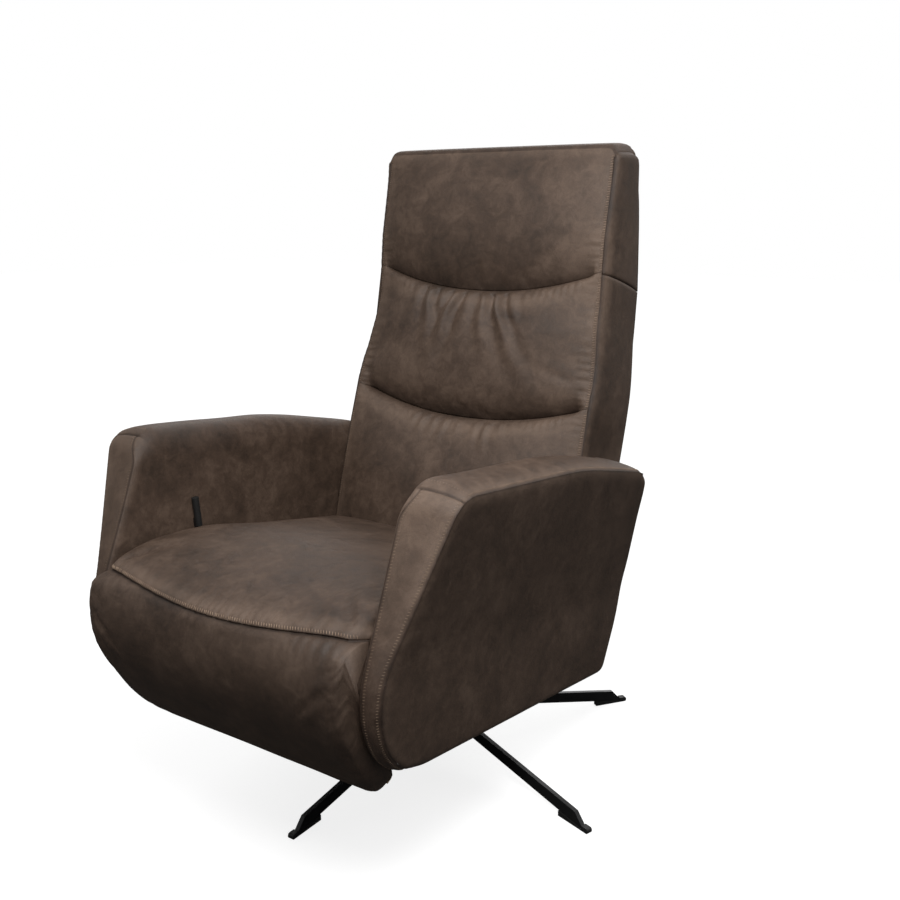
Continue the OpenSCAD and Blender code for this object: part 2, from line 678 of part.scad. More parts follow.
// Leg rest cushion: full over its length, its top edge a little higher at the ends
function leg_ring(t, steps) = [
    for (j = [0 : steps - 1])
        let(
            a = 360 * j / steps, k = fullness(t, 5),
            c = squared(cos(a), 0.6), s = squared(sin(a), 0.6),
            top = 4 + 10 * t * t, low = -leg_rest_len + 24 * t * t * t * t,
            z = (top + low) / 2 + (top - low) / 2 * s * (0.97 + 0.03 * k),
            u = 0.07 + 0.86 * (top - z) / (top - low),
            full = leg_rest_t * pow(1 - pow(abs(2 * u - 1), 3), 0.6),
            y = c > 0 ? 0 : (full - leg_board_t) * c * (0.25 + 0.75 * k)
        )
        [(seat_half_w - 2) * t * (1 - 0.06 * pow(u, 3)), y - leg_board_t - seat_gap, z]
];
module leg_rest_cushion() {
    color(leather) in_leg_rest() loft([for (t = stations(16)) leg_ring(t, 32)]);
}

// Back
module back_board() {
    color(plywood) in_back() translate([-back_board_w, back_board_y, back_low])
        cube([2 * back_board_w, back_board_t, head_hinge_z - 12 - back_low]);
}
module back_hinge_plates() {
    y0 = back_board_y;
    color(black_steel) in_back() for (side = [-1, 1]) on_side(side) difference() {
        side_plate(hinge_plate_x, hinge_plate_x + hinge_t) polygon(rounded([
            [y0, pivot_back[1] - 8, 4], [pivot_back[0] - 4, pivot_back[1] - 16, 12],
            [pivot_back[0] + 16, pivot_back[1] - 12, 14], [pivot_back[0] + 16, pivot_back[1] + 16, 14],
            [y0 + 24, 150, 6], [y0, 150, 3]
        ]));
        bar_x(hinge_plate_x - 1, hinge_plate_x + hinge_t + 1, pivot_back[0], pivot_back[1],
              pivot_r + run_fit);
    }
}
// Height of a fold at a station: it dips in the middle and turns up at the sides
function fold_z(side_z, t) = side_z - fold_dip * (1 - pow(abs(t), 2.2));
pad_half_w = back_half_w - 2;
// Ring of a back cushion between two heights, with its front face bulging
function back_ring(t, low, high, front_low, front_high, bulge, e, steps) = [
    for (j = [0 : steps - 1])
        let(
            a = 360 * j / steps, k = fullness(t, 9),
            c = squared(cos(a), e), s = squared(sin(a), e),
            z = (high + low) / 2 + (high - low) / 2 * s * (0.975 + 0.025 * k),
            up = (z - low) / (high - low),
            front = front_low + (front_high - front_low) * up
                - bulge * (1 - t * t * t * t) * sin(180 * min(max(up, 0), 1)),
            rear = back_board_y - seat_gap,
            y = c > 0 ? rear : rear + (rear - front) * c * (0.55 + 0.45 * k)
        )
        [pad_half_w * t, y, z]
];
module lumbar_cushion() {
    color(leather) in_back() loft([for (t = stations(16))
        back_ring(t, back_low, fold_z(fold_2_z, t) - fold_gap / 2, 12, 28, 26, 0.4, 30)]);
}
// Slots in the two cushions at the upper fold leave room for the headrest hinges
plate_side_t = 4;
module headrest_slots() {
    for (side = [-1, 1]) on_side(side)
        translate([head_hinge_x - 2, head_hinge_y - 14, head_hinge_z - 24])
            cube([2 * plate_side_t + 5, back_board_y - head_hinge_y + 15, 40]);
}
module shoulder_cushion() {
    color(leather) in_back() difference() {
        loft([for (t = stations(16)) back_ring(t, fold_z(fold_2_z, t) + fold_gap / 2,
            fold_z(fold_1_z, t) - fold_gap / 2, 36, 36, 14, 0.4, 30)]);
        headrest_slots();
    }
}
// Outline of the back's depth behind its cushions, at heights along the back
rear_profile = [
    [166, back_low], [back_deep_d - 20, 40], [back_deep_d - 5, 170], [back_deep_d, 300],
    [back_deep_d - 8, 420], [back_mid_d, 520]
];
head_joint_z = 520;
head_profile = [[back_mid_d, head_joint_z + soft_gap], [149, 640], [110, 735], [back_top_d, back_peak_z]];
// A curved cover along a profile
function strip(profile, t) = concat(
    profile, [for (i = [len(profile) - 1 : -1 : 0]) [profile[i][0] - t, profile[i][1]]]
);
// The profile that a side panel follows inside its cover
function panel_profile(profile) = [for (p = profile) [p[0] - rear_cover_t - seat_gap, p[1]]];
module side_panel(side, points) {
    color(leather) in_back() on_side(side) side_plate(back_half_w - side_panel_t, back_half_w)
        polygon(points);
}
module back_side_panel(side) {
    lower = [for (p = panel_profile(rear_profile)) if (p[1] > 30) p];
    side_panel(side, concat([[back_board_y + seat_gap, 60], [150, 40]], lower,
                            [[back_board_y + seat_gap, head_joint_z]]));
}
module back_rear_cover() {
    color(leather) in_back() side_plate(-back_half_w, back_half_w)
        polygon(strip(rear_profile, rear_cover_t));
}

// Headrest
module headrest_fittings() {
    rear = back_board_y + back_board_t;
    color(black_steel) in_back() for (side = [-1, 1]) on_side(side) {
        side_plate(head_hinge_x, head_hinge_x + plate_side_t) polygon(rounded([
            [rear, head_hinge_z - 90, 0], [rear + 14, head_hinge_z - 90, 4],
            [rear + 14, head_hinge_z, 6], [head_hinge_y + 8, head_hinge_z + 8, 3],
            [head_hinge_y - 8, head_hinge_z + 8, 7], [head_hinge_y - 8, head_hinge_z - 8, 7],
            [rear, head_hinge_z - 11.5, 0]
        ]));
        bar_x(head_hinge_x, head_hinge_x + 2 * plate_side_t + 1, head_hinge_y, head_hinge_z, head_pin_r);
    }
}
module headrest_hinge_plates() {
    rear = back_board_y + back_board_t;
    x0 = head_hinge_x + plate_side_t + 1;
    color(black_steel) in_back() for (side = [-1, 1]) on_side(side) difference() {
        side_plate(x0, x0 + plate_side_t) polygon(rounded([
            [head_hinge_y - 8, head_hinge_z - 8, 7], [rear + 14, head_hinge_z - 8, 5],
            [rear + 14, head_hinge_z + 100, 4], [rear, head_hinge_z + 100, 0],
            [rear, head_hinge_z + 11.5, 0], [head_hinge_y - 8, head_hinge_z + 8, 7]
        ]));
        bar_x(x0 - 1, x0 + plate_side_t + 1, head_hinge_y, head_hinge_z, head_pin_r + run_fit);
    }
}
module headrest_board() {
    low = head_hinge_z + 42;
    color(plywood) in_back() translate([-back_board_w, back_board_y, low])
        cube([2 * back_board_w, back_board_t, back_top_z - 60 - low]);
}
module headrest_cushion() {
    color(leather) in_back() difference() {
        loft([for (t = stations(16))
            back_ring(t, fold_z(fold_1_z, t) + fold_gap / 2, back_top_z - 6, 34, 14, 13, 0.4, 30)]);
        headrest_slots();
    }
}
module headrest_side(side) {
    side_panel(side, concat([[back_board_y + seat_gap, head_joint_z + soft_gap]],
        [for (p = panel_profile(head_profile)) if (p[1] < 700) p],
        [[95, back_top_z - 6], [back_board_y + seat_gap, back_top_z - 6]]));
}
module headrest_rear_cover() {
    color(leather) in_back() side_plate(-back_half_w, back_half_w) polygon(concat(
        head_profile, [[14, back_top_z + 6], [14, back_top_z], [back_top_d + 6, back_top_z - 3]],
        [for (i = [1 : -1 : 0]) [head_profile[i][0] - rear_cover_t, head_profile[i][1]]]
    ));
}

// Release lever on the inside of the right arm
grip_start = 96;
module lever_frame() { in_shell() translate([0, lever_y, lever_z]) rotate([lever_lean, 0, 0]) children(); }
module lever_bar() {
    side_plate(-lever_x - lever_t, -lever_x) polygon(rounded([
        [-9, -9, 7], [9, -9, 7], [lever_w / 2, 16, 60],
        [lever_w / 2, grip_start + 14, 0], [-lever_w / 2, grip_start + 14, 0], [-lever_w / 2, 16, 60]
    ]));
}
module release_lever() {
    color(black_steel) lever_frame() difference() {
        lever_bar();
        bar_x(-lever_x - lever_t - 1, -lever_x + 1, 0, 0, lever_pin_r + run_fit);
    }
}
module lever_grip() {
    color(black_steel) lever_frame() difference() {
        translate([-lever_x - lever_t + grip_r, 0, grip_start]) cylinder(r = grip_r, h = lever_len - grip_start);
        translate([-lever_x - lever_t - 1, -lever_w / 2, grip_start - 1])
            cube([lever_t + 1, lever_w, 15]);
    }
}

base_hub();
column_tube();
lower_bush();
upper_bush();
for (k = [1 : leg_count]) leg(k);
floor_glides();
swivel_spindle();
tilt_bracket(1);  // tilt_bracket_left
tilt_bracket(-1);  // tilt_bracket_right
rail(1);  // rail_left
rail(-1);  // rail_right
cross_tube(cross_front_y);  // cross_tube_front
cross_tube(cross_rear_y);  // cross_tube_rear
guide_bar(1);  // guide_bar_left
guide_bar(-1);  // guide_bar_right
pivot_bracket(1);  // pivot_bracket_left
pivot_bracket(-1);  // pivot_bracket_right
back_pivot_pins();
arm_panel(1);  // arm_panel_left
arm_panel(-1);  // arm_panel_right
arm_inner_cover(1);  // arm_inner_cover_left
arm_inner_cover(-1);  // arm_inner_cover_right
arm_outer_cover(1);  // arm_outer_cover_left
arm_outer_cover(-1);  // arm_outer_cover_right
arm_top_pad(1);  // arm_top_pad_left
arm_top_pad(-1);  // arm_top_pad_right
arm_front_pad(1);  // arm_front_pad_left
arm_front_pad(-1);  // arm_front_pad_right
arm_bolts();
lever_pin();
gas_spring_cylinder();
seat_board();
seat_gliders();
seat_cushion();
gas_spring_rod();
leg_rest_brackets();
leg_rest_board();
leg_rest_ears();
leg_rest_cushion();
back_board();
back_hinge_plates();
lumbar_cushion();
shoulder_cushion();
back_side_panel(1);  // back_side_panel_left
back_side_panel(-1);  // back_side_panel_right
back_rear_cover();
headrest_fittings();
headrest_board();
headrest_hinge_plates();
headrest_cushion();
headrest_side(1);  // headrest_side_left
headrest_side(-1);  // headrest_side_right
headrest_rear_cover();
release_lever();
lever_grip();
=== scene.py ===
# %% [markdown]
# # A swivel recliner in brown brushed leather
# The chair has a star base, two arms, a seat that slides, a leg rest that swings up, a back that
# reclines and a headrest that folds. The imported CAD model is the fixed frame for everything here.
# Each cushion and cover below stands in the place of a plain CAD solid, in the same millimetres,
# so that it moves with the right body and stays clear of its neighbours.

# %% Load the frame
import math
import bpy
import bmesh
import numpy as np
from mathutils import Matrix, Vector, noise
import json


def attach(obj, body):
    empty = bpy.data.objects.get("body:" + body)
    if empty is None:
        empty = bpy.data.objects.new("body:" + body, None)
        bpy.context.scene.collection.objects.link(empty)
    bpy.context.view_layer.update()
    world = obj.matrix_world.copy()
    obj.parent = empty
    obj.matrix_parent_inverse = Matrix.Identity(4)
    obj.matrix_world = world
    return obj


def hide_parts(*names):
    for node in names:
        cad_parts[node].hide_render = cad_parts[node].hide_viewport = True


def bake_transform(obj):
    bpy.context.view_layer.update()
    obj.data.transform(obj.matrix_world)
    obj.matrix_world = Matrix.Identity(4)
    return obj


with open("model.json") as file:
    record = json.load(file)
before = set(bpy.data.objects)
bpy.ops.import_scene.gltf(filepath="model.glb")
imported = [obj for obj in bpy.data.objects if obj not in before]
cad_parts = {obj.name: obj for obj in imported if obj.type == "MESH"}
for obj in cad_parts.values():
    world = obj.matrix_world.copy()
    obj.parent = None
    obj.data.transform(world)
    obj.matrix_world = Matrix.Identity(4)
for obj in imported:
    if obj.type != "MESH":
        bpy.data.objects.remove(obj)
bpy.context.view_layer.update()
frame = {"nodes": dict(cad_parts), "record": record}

# %% [markdown]
# ## Three ways to say where a point is
# The body of the chair tilts back on its column, and the back leans further. It is easiest to
# shape a cushion in its own upright plane, in millimetres, and to tilt the finished points.
# The leg rest has its own plane too, with its zero on the hinge line under the seat's front seam.

# %% Frames of the chair, from millimetres to metres
SHELL_TILT = math.radians(8.2)
BACK_LEAN = math.radians(15)
LEG_LEAN = math.radians(35)
SHELL_AT, BACK_AT = (125, 165), (125, 400)
HINGE = (-599, 187)


def tilted(points, angle, y0, z0):
    """Turns x, y, z in millimetres about the X axis and moves them by y0, z0."""
    p = np.asarray(points, float)
    c, s = math.cos(angle), math.sin(angle)
    x, y, z = p[..., 0], p[..., 1], p[..., 2]
    return np.stack([x, y0 + y * c + z * s, z0 - y * s + z * c], -1)


def in_shell(points):
    return tilted(points, SHELL_TILT, *SHELL_AT) / 1000


def in_back(points):
    return tilted(points, BACK_LEAN, *BACK_AT) / 1000


def in_leg_rest(points):
    return in_shell(tilted(points, -LEG_LEAN, *HINGE))


print("leg rest hinge in metres", in_leg_rest([0, 0, 0]).round(4))

# %% [markdown]
# ## Camera
# The camera was fitted to the tips of the star base and the edges of the arms, seat and back.

# %% Camera
camera = bpy.data.objects.new("camera", bpy.data.cameras.new("camera"))
camera.data.lens = 40.743
camera.data.sensor_width = 36
camera.location = (1.049, -1.373, 1.0073)
camera.rotation_euler = (math.radians(76.6986), 0, math.radians(34.1813))
bpy.context.scene.collection.objects.link(camera)
bpy.context.scene.camera = camera

# %% [markdown]
# ## Curves, grids and meshes
# Every soft piece starts as a grid of points: one direction runs across the chair, the other
# round the cushion. The grid stays a plain array while it is shaped, so a seam is simply one of
# its rows, and stitches can follow that row later. Each mesh made here is kept in PIECES.


# %% Shaping helpers
PIECES = {}


def distances(line):
    """How far each point of a polyline is from its start, along the line."""
    return np.concatenate([[0], np.cumsum(np.linalg.norm(np.diff(line, axis=0), axis=1))])


def between(a, b, c, d, t):
    """Point at share t of the way from b to c, on a smooth curve past a, b, c and d (Catmull-Rom)."""
    bend, twist = 2 * a - 5 * b + 4 * c - d, 3 * b - a - 3 * c + d
    return 0.5 * (2 * b + (c - a) * t + bend * t ** 2 + twist * t ** 3)


def curve_through(points, n, power=1):
    """n points on a smooth curve through the given ones; power > 1 crowds them at the start."""
    p = np.asarray(points, float)
    p = np.concatenate([2 * p[:1] - p[1:2], p, 2 * p[-1:] - p[-2:-1]])
    t = np.linspace(0, 1, 17)[:-1, None]
    parts = [between(*four, t) for four in zip(p[:-3], p[1:-2], p[2:-1], p[3:])]
    return evenly(np.concatenate(parts + [p[-2:-1]]), n, power=power)


def evenly(line, n, closed=False, power=1):
    """n points along a polyline, at equal distances if power is 1."""
    far = distances(line)
    share = np.linspace(0, 1, n + 1)[:-1] if closed else np.linspace(0, 1, n) ** power
    at = share * far[-1]
    return np.stack([np.interp(at, far, line[:, k]) for k in range(line.shape[1])], -1)


def refine(grid, k, axis, closed=False):
    """Puts k - 1 smooth points between neighbours along one axis of a grid."""
    g = np.moveaxis(grid, axis, 0)
    if closed:
        p = np.concatenate([g[-1:], g, g[:2]])
    else:
        p = np.concatenate([2 * g[:1] - g[1:2], g, 2 * g[-1:] - g[-2:-1]])
    out = [between(p[:-3], p[1:-2], p[2:-1], p[3:], t) for t in np.arange(k) / k]
    out = np.stack(out, 1).reshape((-1,) + g.shape[1:])
    if not closed:
        out = np.concatenate([out, g[-1:]])
    return np.moveaxis(out, 0, axis)


def normals(grid, closed=False):
    """Unit normals of a grid whose second direction may be closed."""
    u = np.gradient(grid, axis=0)
    if closed:
        v = (np.roll(grid, -1, 1) - np.roll(grid, 1, 1)) / 2
    else:
        v = np.gradient(grid, axis=1)
    n = np.cross(u, v)
    return n / np.maximum(np.linalg.norm(n, axis=-1, keepdims=True), 1e-12)


def waves(points, size, seed):
    """Smooth noise between about -1 and 1 at each point; size is its wavelength in the points' unit."""
    p = np.asarray(points, float).reshape(-1, 3) / size + seed * 17.3
    found = [noise.noise(Vector(q)) for q in p]
    return np.array(found).reshape(np.asarray(points).shape[:-1])


def smooth_step(x, a, b):
    t = np.clip((np.asarray(x, float) - a) / (b - a), 0, 1)
    return t * t * (3 - 2 * t)


def hump(x, middle, width):
    """A smooth bump of height 1; it falls to about a third at width from its middle."""
    return np.exp(-((x - middle) / width) ** 2)


def mesh_object(name, verts, faces, masks=None):
    """A smooth shaded mesh object, kept in PIECES; masks are values at its points for the materials."""
    mesh = bpy.data.meshes.new(name)
    mesh.from_pydata([tuple(v) for v in verts], [], [tuple(f) for f in faces])
    mesh.validate()
    for key, values in (masks or {}).items():
        data = mesh.attributes.new(key, "FLOAT", "POINT")
        data.data.foreach_set("value", np.asarray(values, np.float32).ravel())
    obj = bpy.data.objects.new(name, mesh)
    bpy.context.scene.collection.objects.link(obj)
    mesh.polygons.foreach_set("use_smooth", [True] * len(mesh.polygons))
    PIECES[name] = obj
    return obj


def face_outward(obj):
    bm = bmesh.new()
    bm.from_mesh(obj.data)
    bmesh.ops.recalc_face_normals(bm, faces=bm.faces)
    bm.to_mesh(obj.data)
    bm.free()
    return obj


def grid_faces(n, m, closed):
    i, j = np.meshgrid(np.arange(n - 1), np.arange(m if closed else m - 1), indexing="ij")
    k = (j + 1) % m
    return np.stack([i * m + j, i * m + k, (i + 1) * m + k, (i + 1) * m + j], -1).reshape(-1, 4)


def loft(name, grid, masks=None):
    """Closed piece through rings: grid[i] is a ring, and each end is closed with a fan."""
    n, m = grid.shape[:2]
    verts = np.concatenate([grid.reshape(-1, 3), [grid[0].mean(0)], [grid[-1].mean(0)]])
    faces = [tuple(f) for f in grid_faces(n, m, True)]
    faces += [(n * m, (j + 1) % m, j) for j in range(m)]
    faces += [(n * m + 1, (n - 1) * m + j, (n - 1) * m + (j + 1) % m) for j in range(m)]
    full = {k: np.append(np.broadcast_to(v, (n, m)), [0, 0]) for k, v in (masks or {}).items()}
    return face_outward(mesh_object(name, verts, faces, full))


def plate(name, outer, inner, masks=None):
    """Closed piece between two grids of the same shape, such as a cover with its padding."""
    n, m = outer.shape[:2]
    a = grid_faces(n, m, False)
    faces = [tuple(f) for f in a] + [tuple(f[::-1] + n * m) for f in a]
    rim = ([(i, 0) for i in range(n)] + [(n - 1, j) for j in range(1, m)]
           + [(i, m - 1) for i in range(n - 2, -1, -1)] + [(0, j) for j in range(m - 2, 0, -1)])
    ids = [i * m + j for i, j in rim]
    for a, b in zip(ids, ids[1:] + ids[:1]):
        faces.append((a, b, b + n * m, a + n * m))
    full = {k: np.tile(np.broadcast_to(v, (n, m)).ravel(), 2) for k, v in (masks or {}).items()}
    verts = np.concatenate([outer.reshape(-1, 3), inner.reshape(-1, 3)])
    return face_outward(mesh_object(name, verts, faces, full))


print("curve test", curve_through([(0, 0), (1, 1), (2, 0)], 5).round(3).tolist())

# %% [markdown]
# ## Letting a cushion swell
# A sewn cushion is cut flat and gets its shape from the foam that presses on the leather. The
# cloth simulation does the same: rows that are sewn or glued down are held, gravity is off, and
# pressure from inside lifts the rest. A cap keeps each point near the shape that was drawn.


# %% Cloth under pressure
def swell(name, grid, held, pressure, cap, frames=20):
    """Blows a lofted grid up a little and gives the same grid back, with its new points."""
    obj = loft(name + "_cloth", grid)
    del PIECES[name + "_cloth"]
    count = grid.shape[0] * grid.shape[1]
    group = obj.vertex_groups.new(name="held")
    group.add([int(i) for i in np.flatnonzero(held.ravel())] + [count, count + 1], 1, "REPLACE")
    cloth = obj.modifiers.new("cloth", "CLOTH")
    values = dict(quality=4, mass=0.4, tension_stiffness=12, compression_stiffness=12, shear_stiffness=6,
                  bending_stiffness=0.6, use_pressure=True, uniform_pressure_force=pressure,
                  vertex_group_mass="held")
    for key, value in values.items():
        setattr(cloth.settings, key, value)
    cloth.settings.effector_weights.gravity = 0
    cloth.collision_settings.use_collision = False
    scene = bpy.context.scene
    for f in range(1, frames + 1):
        scene.frame_set(f)
    made = obj.evaluated_get(bpy.context.evaluated_depsgraph_get()).to_mesh()
    co = np.empty(len(made.vertices) * 3)
    made.vertices.foreach_get("co", co)
    move = co.reshape(-1, 3)[:count].reshape(grid.shape) - grid
    length = np.linalg.norm(move, axis=-1, keepdims=True)
    move *= np.minimum(1, cap / np.maximum(length, 1e-9))
    bpy.data.objects.remove(obj)
    scene.frame_set(1)
    print(name, "swelled by up to", round(float(length.max()) * 1000, 1), "mm, kept", round(cap * 1000, 1))
    return grid + move


def soften(name, grid, free_rows, pressure, cap):
    """Lets the free rows swell, then makes the grid finer: 5 times across the chair and 2 times round it."""
    held = np.ones(grid.shape[:2], bool)
    held[2:-2, free_rows] = False
    return refine(refine(swell(name, grid, held, pressure, cap), FINER, 0), 2, 1, closed=True)


def survey(grid, half):
    """Of a fine ring grid: x of its stations, its row numbers, distance from the seam, outward normals."""
    at = np.linspace(0, len(STATIONS) - 1, grid.shape[0])
    x = np.interp(at, np.arange(len(STATIONS)), STATIONS)[:, None] * half
    n = normals(grid, True)
    n *= np.sign(((grid - grid.mean((0, 1))) * n).sum(-1).mean())
    return x, np.arange(grid.shape[1])[None, :], distances(grid[MIDDLE])[None, :] * 1000, n


# Stations across a cushion, closer together near its two sides
STATIONS = np.sin(np.linspace(-math.pi / 2, math.pi / 2, 49)) * 0.35 + np.linspace(-1, 1, 49) * 0.65
FINER = 5
MIDDLE = (len(STATIONS) - 1) // 2 * FINER
# Points over the face of a drawn ring, the rows they become in a fine grid, and the rows by the seam
FACE_POINTS, REST_POINTS = 49, 55
FACE_ROWS, REST_ROWS = 2 * FACE_POINTS - 1, 2 * REST_POINTS - 1
SEAM_ROWS = 20


# %% [markdown]
# ## Stitches
# A seam on this chair shows as a row of short, slightly lighter threads a few millimetres beside
# the fold. Each stitch is a small tapered bead that lies on the leather along the row.


# %% Rows of stitches
def stitch_row(points, outs, pitch=0.0044, length=0.0056, thick=0.0007, lift=0.0002, slant=75):
    """Verts and faces of stitches along a line of points with their outward normals."""
    p = np.asarray(points, float)
    far = distances(p)
    count = max(int(far[-1] / pitch), 1)
    mid = (np.arange(count) + 0.5) * far[-1] / count

    def at(values, where):
        return np.stack([np.interp(where, far, np.asarray(values)[:, k]) for k in range(3)], -1)
    centre, out = at(p, mid), at(outs, mid)
    along = at(p, np.minimum(mid + 0.001, far[-1])) - at(p, np.maximum(mid - 0.001, 0))
    along /= np.maximum(np.linalg.norm(along, axis=1, keepdims=True), 1e-9)
    out -= along * (out * along).sum(1, keepdims=True)
    out /= np.maximum(np.linalg.norm(out, axis=1, keepdims=True), 1e-9)
    side = np.cross(along, out)
    a = math.radians(slant)
    along, side = along * math.cos(a) + side * math.sin(a), side * math.cos(a) - along * math.sin(a)
    steps = [(-0.5, 0.35), (-0.25, 1), (0.25, 1), (0.5, 0.35)]
    rings = [centre + along * length * s + out * (lift * w)
             + thick * w * (side * math.cos(a) + out * math.sin(a))
             for s, w in steps for a in (0, 1.2566, 2.5133, 3.7699, 5.0265)]
    verts = np.stack(rings, 1).reshape(-1, 3)
    one = grid_faces(4, 5, True).tolist() + [(4, 3, 2, 1, 0), (15, 16, 17, 18, 19)]
    faces = [tuple(i + 20 * c for i in f) for c in range(count) for f in one]
    return verts, faces


def stitch_object(name, rows, **how):
    verts, faces, start = [], [], 0
    for points, outs in rows:
        v, f = stitch_row(points, outs, **how)
        verts.append(v)
        faces += [tuple(i + start for i in g) for g in f]
        start += len(v)
    return mesh_object(name, np.concatenate(verts), faces)


# %% [markdown]
# ## Seat cushion
# The seat is one thick foam block under a leather top. Its front seam bows forward and dips in
# the middle, and the crown falls away towards the arms. The top panel is a little too long for
# the seam, so it is eased in, which leaves small gathers that radiate from the seam.

# %% Seat cushion
SEAT_HALF = 255.5
END = 0.93
TOP_MIDDLE = [(0, 0), (6, 11), (19, 23), (40, 35), (68, 46), (100, 55), (137, 62), (180, 68), (229, 70),
              (334, 64), (450, 56), (560, 50)]
TOP_ENDS = [(0, 0), (5, 8), (15, 16), (31, 25), (54, 33), (84, 40), (116, 44), (152, 47), (201, 47),
            (306, 41), (422, 34), (529, 28)]


def past_end(t, start):
    """0 up to a start, then rising to 1 at the very end of a cushion."""
    return max(0, (abs(t) - start) / (1 - start))


def seam_at(t):
    """Depth and height of the front seam at a station: it runs back and up, and turns in at the ends."""
    y = -608 + 30 * t ** 2 + 22 * past_end(t, END) ** 2
    return np.array([y, 195.9 + 30.4 * t ** 2 - 11.8 * t ** 4 - 5.5 * t ** 12])


def seat_ring(t):
    """Top from the seam to the rear, the rear, the underside and the nose behind the seam."""
    seam = seam_at(t)
    top = np.array(TOP_MIDDLE) + (np.array(TOP_ENDS) - TOP_MIDDLE) * abs(t) ** 1.8
    drop = 17 * (1 - math.sqrt(max(0, 1 - 0.97 * past_end(t, END) ** 2)))
    top[1:, 1] -= drop * smooth_step(np.arange(1, len(top)), 0, 4)
    over = curve_through(top + seam, FACE_POINTS, power=1.35)
    rear = [(over[-1, 0] + 1, z) for z in np.linspace(over[-1, 1] - 12, 142, 5)]
    under = [(y, 137) for y in np.linspace(-46, -548, 9)]
    back = seam[0] + 601
    nose = curve_through([(-556, 141), (-568 + back, 158), (-588 + back, seam[1] - 13)], 4)
    return np.concatenate([over, rear, under, nose])


seat = in_shell(np.stack([np.insert(seat_ring(t), 0, SEAT_HALF * t, axis=1) for t in STATIONS]))
seat = soften("seat", seat, slice(3, 47), pressure=3.0, cap=0.006)
x, row, far, n = survey(seat, SEAT_HALF)
top, seam = row < FACE_ROWS, row < SEAM_ROWS
gather = hump(far, 7, 19) * top * smooth_step(far, 0, 4)
ridge = np.sin(x / 1.9 + 1.4 * np.sin(x / 17) + far * 0.02 * np.sin(x / 41))
ridge = ridge * (0.5 + 0.5 * np.sin(x / 53 + 0.8))
broad = np.sin(x / 4.6 + 2 * np.sin(x / 31)) * hump(far, 22, 30) * top
soft = waves(seat, 0.13, 1) * smooth_step(far, 5, 50) * top
seat = seat + n * (0.0008 * gather * ridge + 0.0006 * broad + 0.0013 * soft)[..., None]
seat = seat - n * (0.0018 * hump(far, 0, 2.2) * seam)[..., None]
# Painted shade: the dark seam mask darkens the leather in the front seam; the pale band behind it is edge
# wear
loft("seat_pad", seat, {"wear_and_painted_light": 0.8 * hump(far, 16, 15) * top, "dark_seam_and_painted_shade": hump(far, 0, 2.4) * seam})
stitch_at = int(np.argmin(np.abs(far[0, :40] - 5)))
stitch_object("seat_stitches", [(seat[5:-5, stitch_at], n[5:-5, stitch_at])])
print("seat pad", seat.shape, "crown at", (seat[MIDDLE, :, 2].max() * 1000).round(1), "mm above the floor")

# %% [markdown]
# ## Leg rest
# The leg rest hangs like a bolster under the seat's front seam. It is fullest at the height of
# the hinge and thins towards the foot, where its corners are rounded. Its top rises at the ends
# to meet the seat, so the cover there is shared between the seat and the leg rest.

# %% Leg rest
REST_MIDDLE = [(-3, 10.5), (-10, 7), (-18.5, 0.5), (-27.5, -9), (-37, -21.5), (-48, -42), (-56, -70),
               (-58, -100), (-56, -135), (-52, -184), (-43, -228), (-30, -256), (-14, -268), (0, -268)]
REST_SIDE = [(22.7, 12.3), (9, 14.2), (-4.5, 10), (-18, -1.5), (-34, -20), (-47, -42),
             (-55.5, -70)] + REST_MIDDLE[7:]
REST_ENDS = [(29, 4.5), (16, 11), (2, 9.5), (-9, 0), (-17, -16), (-23, -38), (-28, -63), (-30, -92),
             (-30, -130), (-28, -180), (-22, -218), (-16, -238), (-8, -246), (0, -246)]


def in_leg_plane(y, z):
    """A point of the seat's plane in the leg rest's own plane."""
    c, d = math.cos(LEG_LEAN), math.sin(LEG_LEAN)
    y, z = y - HINGE[0], z - HINGE[1]
    return np.array([y * c + z * d, -y * d + z * c])


def rest_ring(t):
    """Face from the seam to the foot, the flat rear, and a hidden lip that closes the seam from below."""
    near = hump(np.arange(len(REST_MIDDLE))[:, None], 0, 1.3)
    start = in_leg_plane(*seam_at(t)) - [0, 1.2]
    face = np.array(REST_MIDDLE) + (np.array(REST_SIDE) - REST_MIDDLE) * min(1, abs(t) / 0.82) ** 2
    face = face + (start - face[0]) * near
    turn = 1 - math.sqrt(max(0, 1 - past_end(t, 0.90) ** 2))
    at_end = np.array(REST_ENDS) + (start - REST_ENDS[0]) * near
    face = face + (at_end - face) * turn
    face = curve_through(face, REST_POINTS, power=1.15)
    z = np.linspace(face[-1, 1], min(face[0, 1], 5) - 6, 9)[1:-1]
    low = face[np.argmax(face[:, 1]):]
    behind = np.interp(z, low[::-1, 1], low[::-1, 0]) + 2.5
    return np.concatenate([face, np.stack([np.maximum(behind, 0.2), z], -1), face[:1] + [[6, -3]]])


REST_HALF = 256
rest = []
for t in STATIONS:
    ring = rest_ring(t)
    corner = np.clip((-ring[:, 1] - 120) / 148, 0, 1)
    half = REST_HALF - 34 * (1 - np.sqrt(1 - corner ** 2 * 0.96))
    rest.append(np.column_stack([half * t, ring]))
rest = soften("leg_rest", in_leg_rest(np.stack(rest)), slice(4, 52), pressure=3.0, cap=0.005)
x, row, far, n = survey(rest, REST_HALF)
face, seam = row < REST_ROWS, row < SEAM_ROWS
gather = hump(far, 14, 24) * smooth_step(far, 0, 5) * face * (0.3 + 0.7 * (x / 250) ** 2)
ridge = np.sin(x / 2.6 + 1.6 * np.sin(x / 23)) * (0.5 + 0.5 * np.sin(x / 37 + 2))
end_far = REST_HALF - np.abs(x)
side_ridge = (np.sin(far / 2.1 + 1.9 * np.sin(far / 7.3)) * (0.5 + 0.5 * np.sin(far / 9.1 + 1))
              * (0.3 + 0.8 * hump(far, 88, 30)))
soft = waves(rest, 0.15, 2) * smooth_step(far, 0, 60) * face
